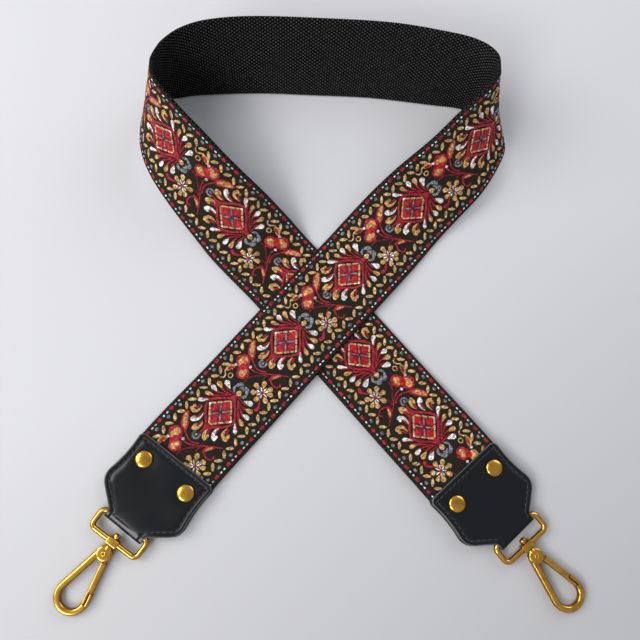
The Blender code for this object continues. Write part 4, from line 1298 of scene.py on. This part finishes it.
# Assembly
webbing = band_layer("webbing_cloth", webbing_places, webbing_section, looks["webbing"])
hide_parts("webbing")
ribbon = band_layer("ribbon_cloth", band_places(0.002), ribbon_section, looks["ground"])
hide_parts("ribbon")
for side in ("left", "right"):
    leather_tab(side)
    stitches(side)
threads = pattern_threads()
finish_metal()


# Floor, light and camera
floor_reach = 6.0


def floor_look():
    """Pale board with painted shade that darkens it away from the window: towards the front and the right."""
    material, tree, shader = new_look("pale_floor", Roughness=0.7)
    place = object_place(tree)
    tone = mix_colour(tree, noise(tree, place, 1.4, 1.0), (0.66, 0.66, 0.69, 1), (0.72, 0.72, 0.735, 1))
    parts = parts_of(tree, place)
    share = sum_up(tree, "ADD", sloped(tree, parts[0], -0.4, parts[1]), 0.5)
    # Painted shade: the board's colour dims towards the front and the right.
    fall = ramp(tree, share, [(0.0, 0.66), (0.27, 0.70), (0.5, 0.93), (0.75, 1.0)])
    fill(tree, shader, {"Base Color": dimmed(tree, tone, fall)})
    return material


def room_world():
    """Pale walls with a dark shelf round them, brighter on the window's side, under a slightly dimmer ceiling."""
    world = bpy.data.worlds.new("room")
    world.use_nodes = True
    tree = world.node_tree
    parts = parts_of(tree, add_node(tree, "ShaderNodeTexCoord").outputs["Generated"])
    below, above = [(0.0, 0.62), (0.17, 0.60), (0.21, 0.07)], [(0.32, 0.08), (0.43, 0.50), (0.75, 0.50), (0.95, 0.38)]
    walls = ramp(tree, parts[2], [*below, *above, (1.0, 0.36)])
    strength = times(tree, walls, sloped(tree, parts[0], -0.4, 1.0))
    fill(tree, tree.nodes["Background"], {"Color": (0.94, 0.96, 1.0, 1), "Strength": strength})
    return world


floor_corners = [(-1, -1, 0), (1, -1, 0), (1, 1, 0), (-1, 1, 0)]
floor_mesh = bpy.data.meshes.new("floor")
floor_mesh.from_pydata([(x * floor_reach, y * floor_reach, z) for x, y, z in floor_corners], [], [(0, 1, 2, 3)])
floor_mesh.materials.append(floor_look())
floor = put_in_scene("floor", floor_mesh)
floor.location.z = -0.0001

for name, place, target, size, power, colour in (
    ("window_light", (-1.08, 0.17, 1.03), (-0.02, 0, 0), 1.1, 13.0, (1.0, 0.985, 0.965)),
    ("near_window_light", (-0.78, -0.90, 1.05), (-0.1, -0.1, 0), 0.6, 8.5, (1.0, 0.99, 0.975)),
    ("far_wall_light", (0.95, 0.95, 0.85), (0, 0, 0), 1.2, 7.0, (0.95, 0.975, 1.0)),
):
    lamp = bpy.data.lights.new(name, "AREA")
    lamp.shape, lamp.size, lamp.energy, lamp.color = "DISK", size, power, colour
    holder = put_in_scene(name, lamp)
    holder.location = place
    holder.rotation_euler = (Vector(target) - Vector(place)).to_track_quat("-Z", "Y").to_euler()

bpy.context.scene.world = room_world()

sensor_width = 36
photo_width, focal_length = 640, 700
camera_data = bpy.data.cameras.new("camera")
camera_data.sensor_width = sensor_width
camera_data.lens = sensor_width * focal_length / photo_width
camera_data.clip_start = 0.01
camera = put_in_scene("camera", camera_data)
view_way = Vector((0.06945, 0.20304, -0.97670)).normalized()
right = view_way.cross(Vector((-0.01754, 0.97917, 0.20230))).normalized()
camera_place = Matrix.Translation(Vector((-0.02688, -0.08787, 0.39918)) + shift)
camera.matrix_world = camera_place @ Matrix((right, right.cross(view_way), -view_way)).transposed().to_4x4()
bpy.context.scene.camera = camera
bpy.context.scene.view_settings.view_transform = "Standard"
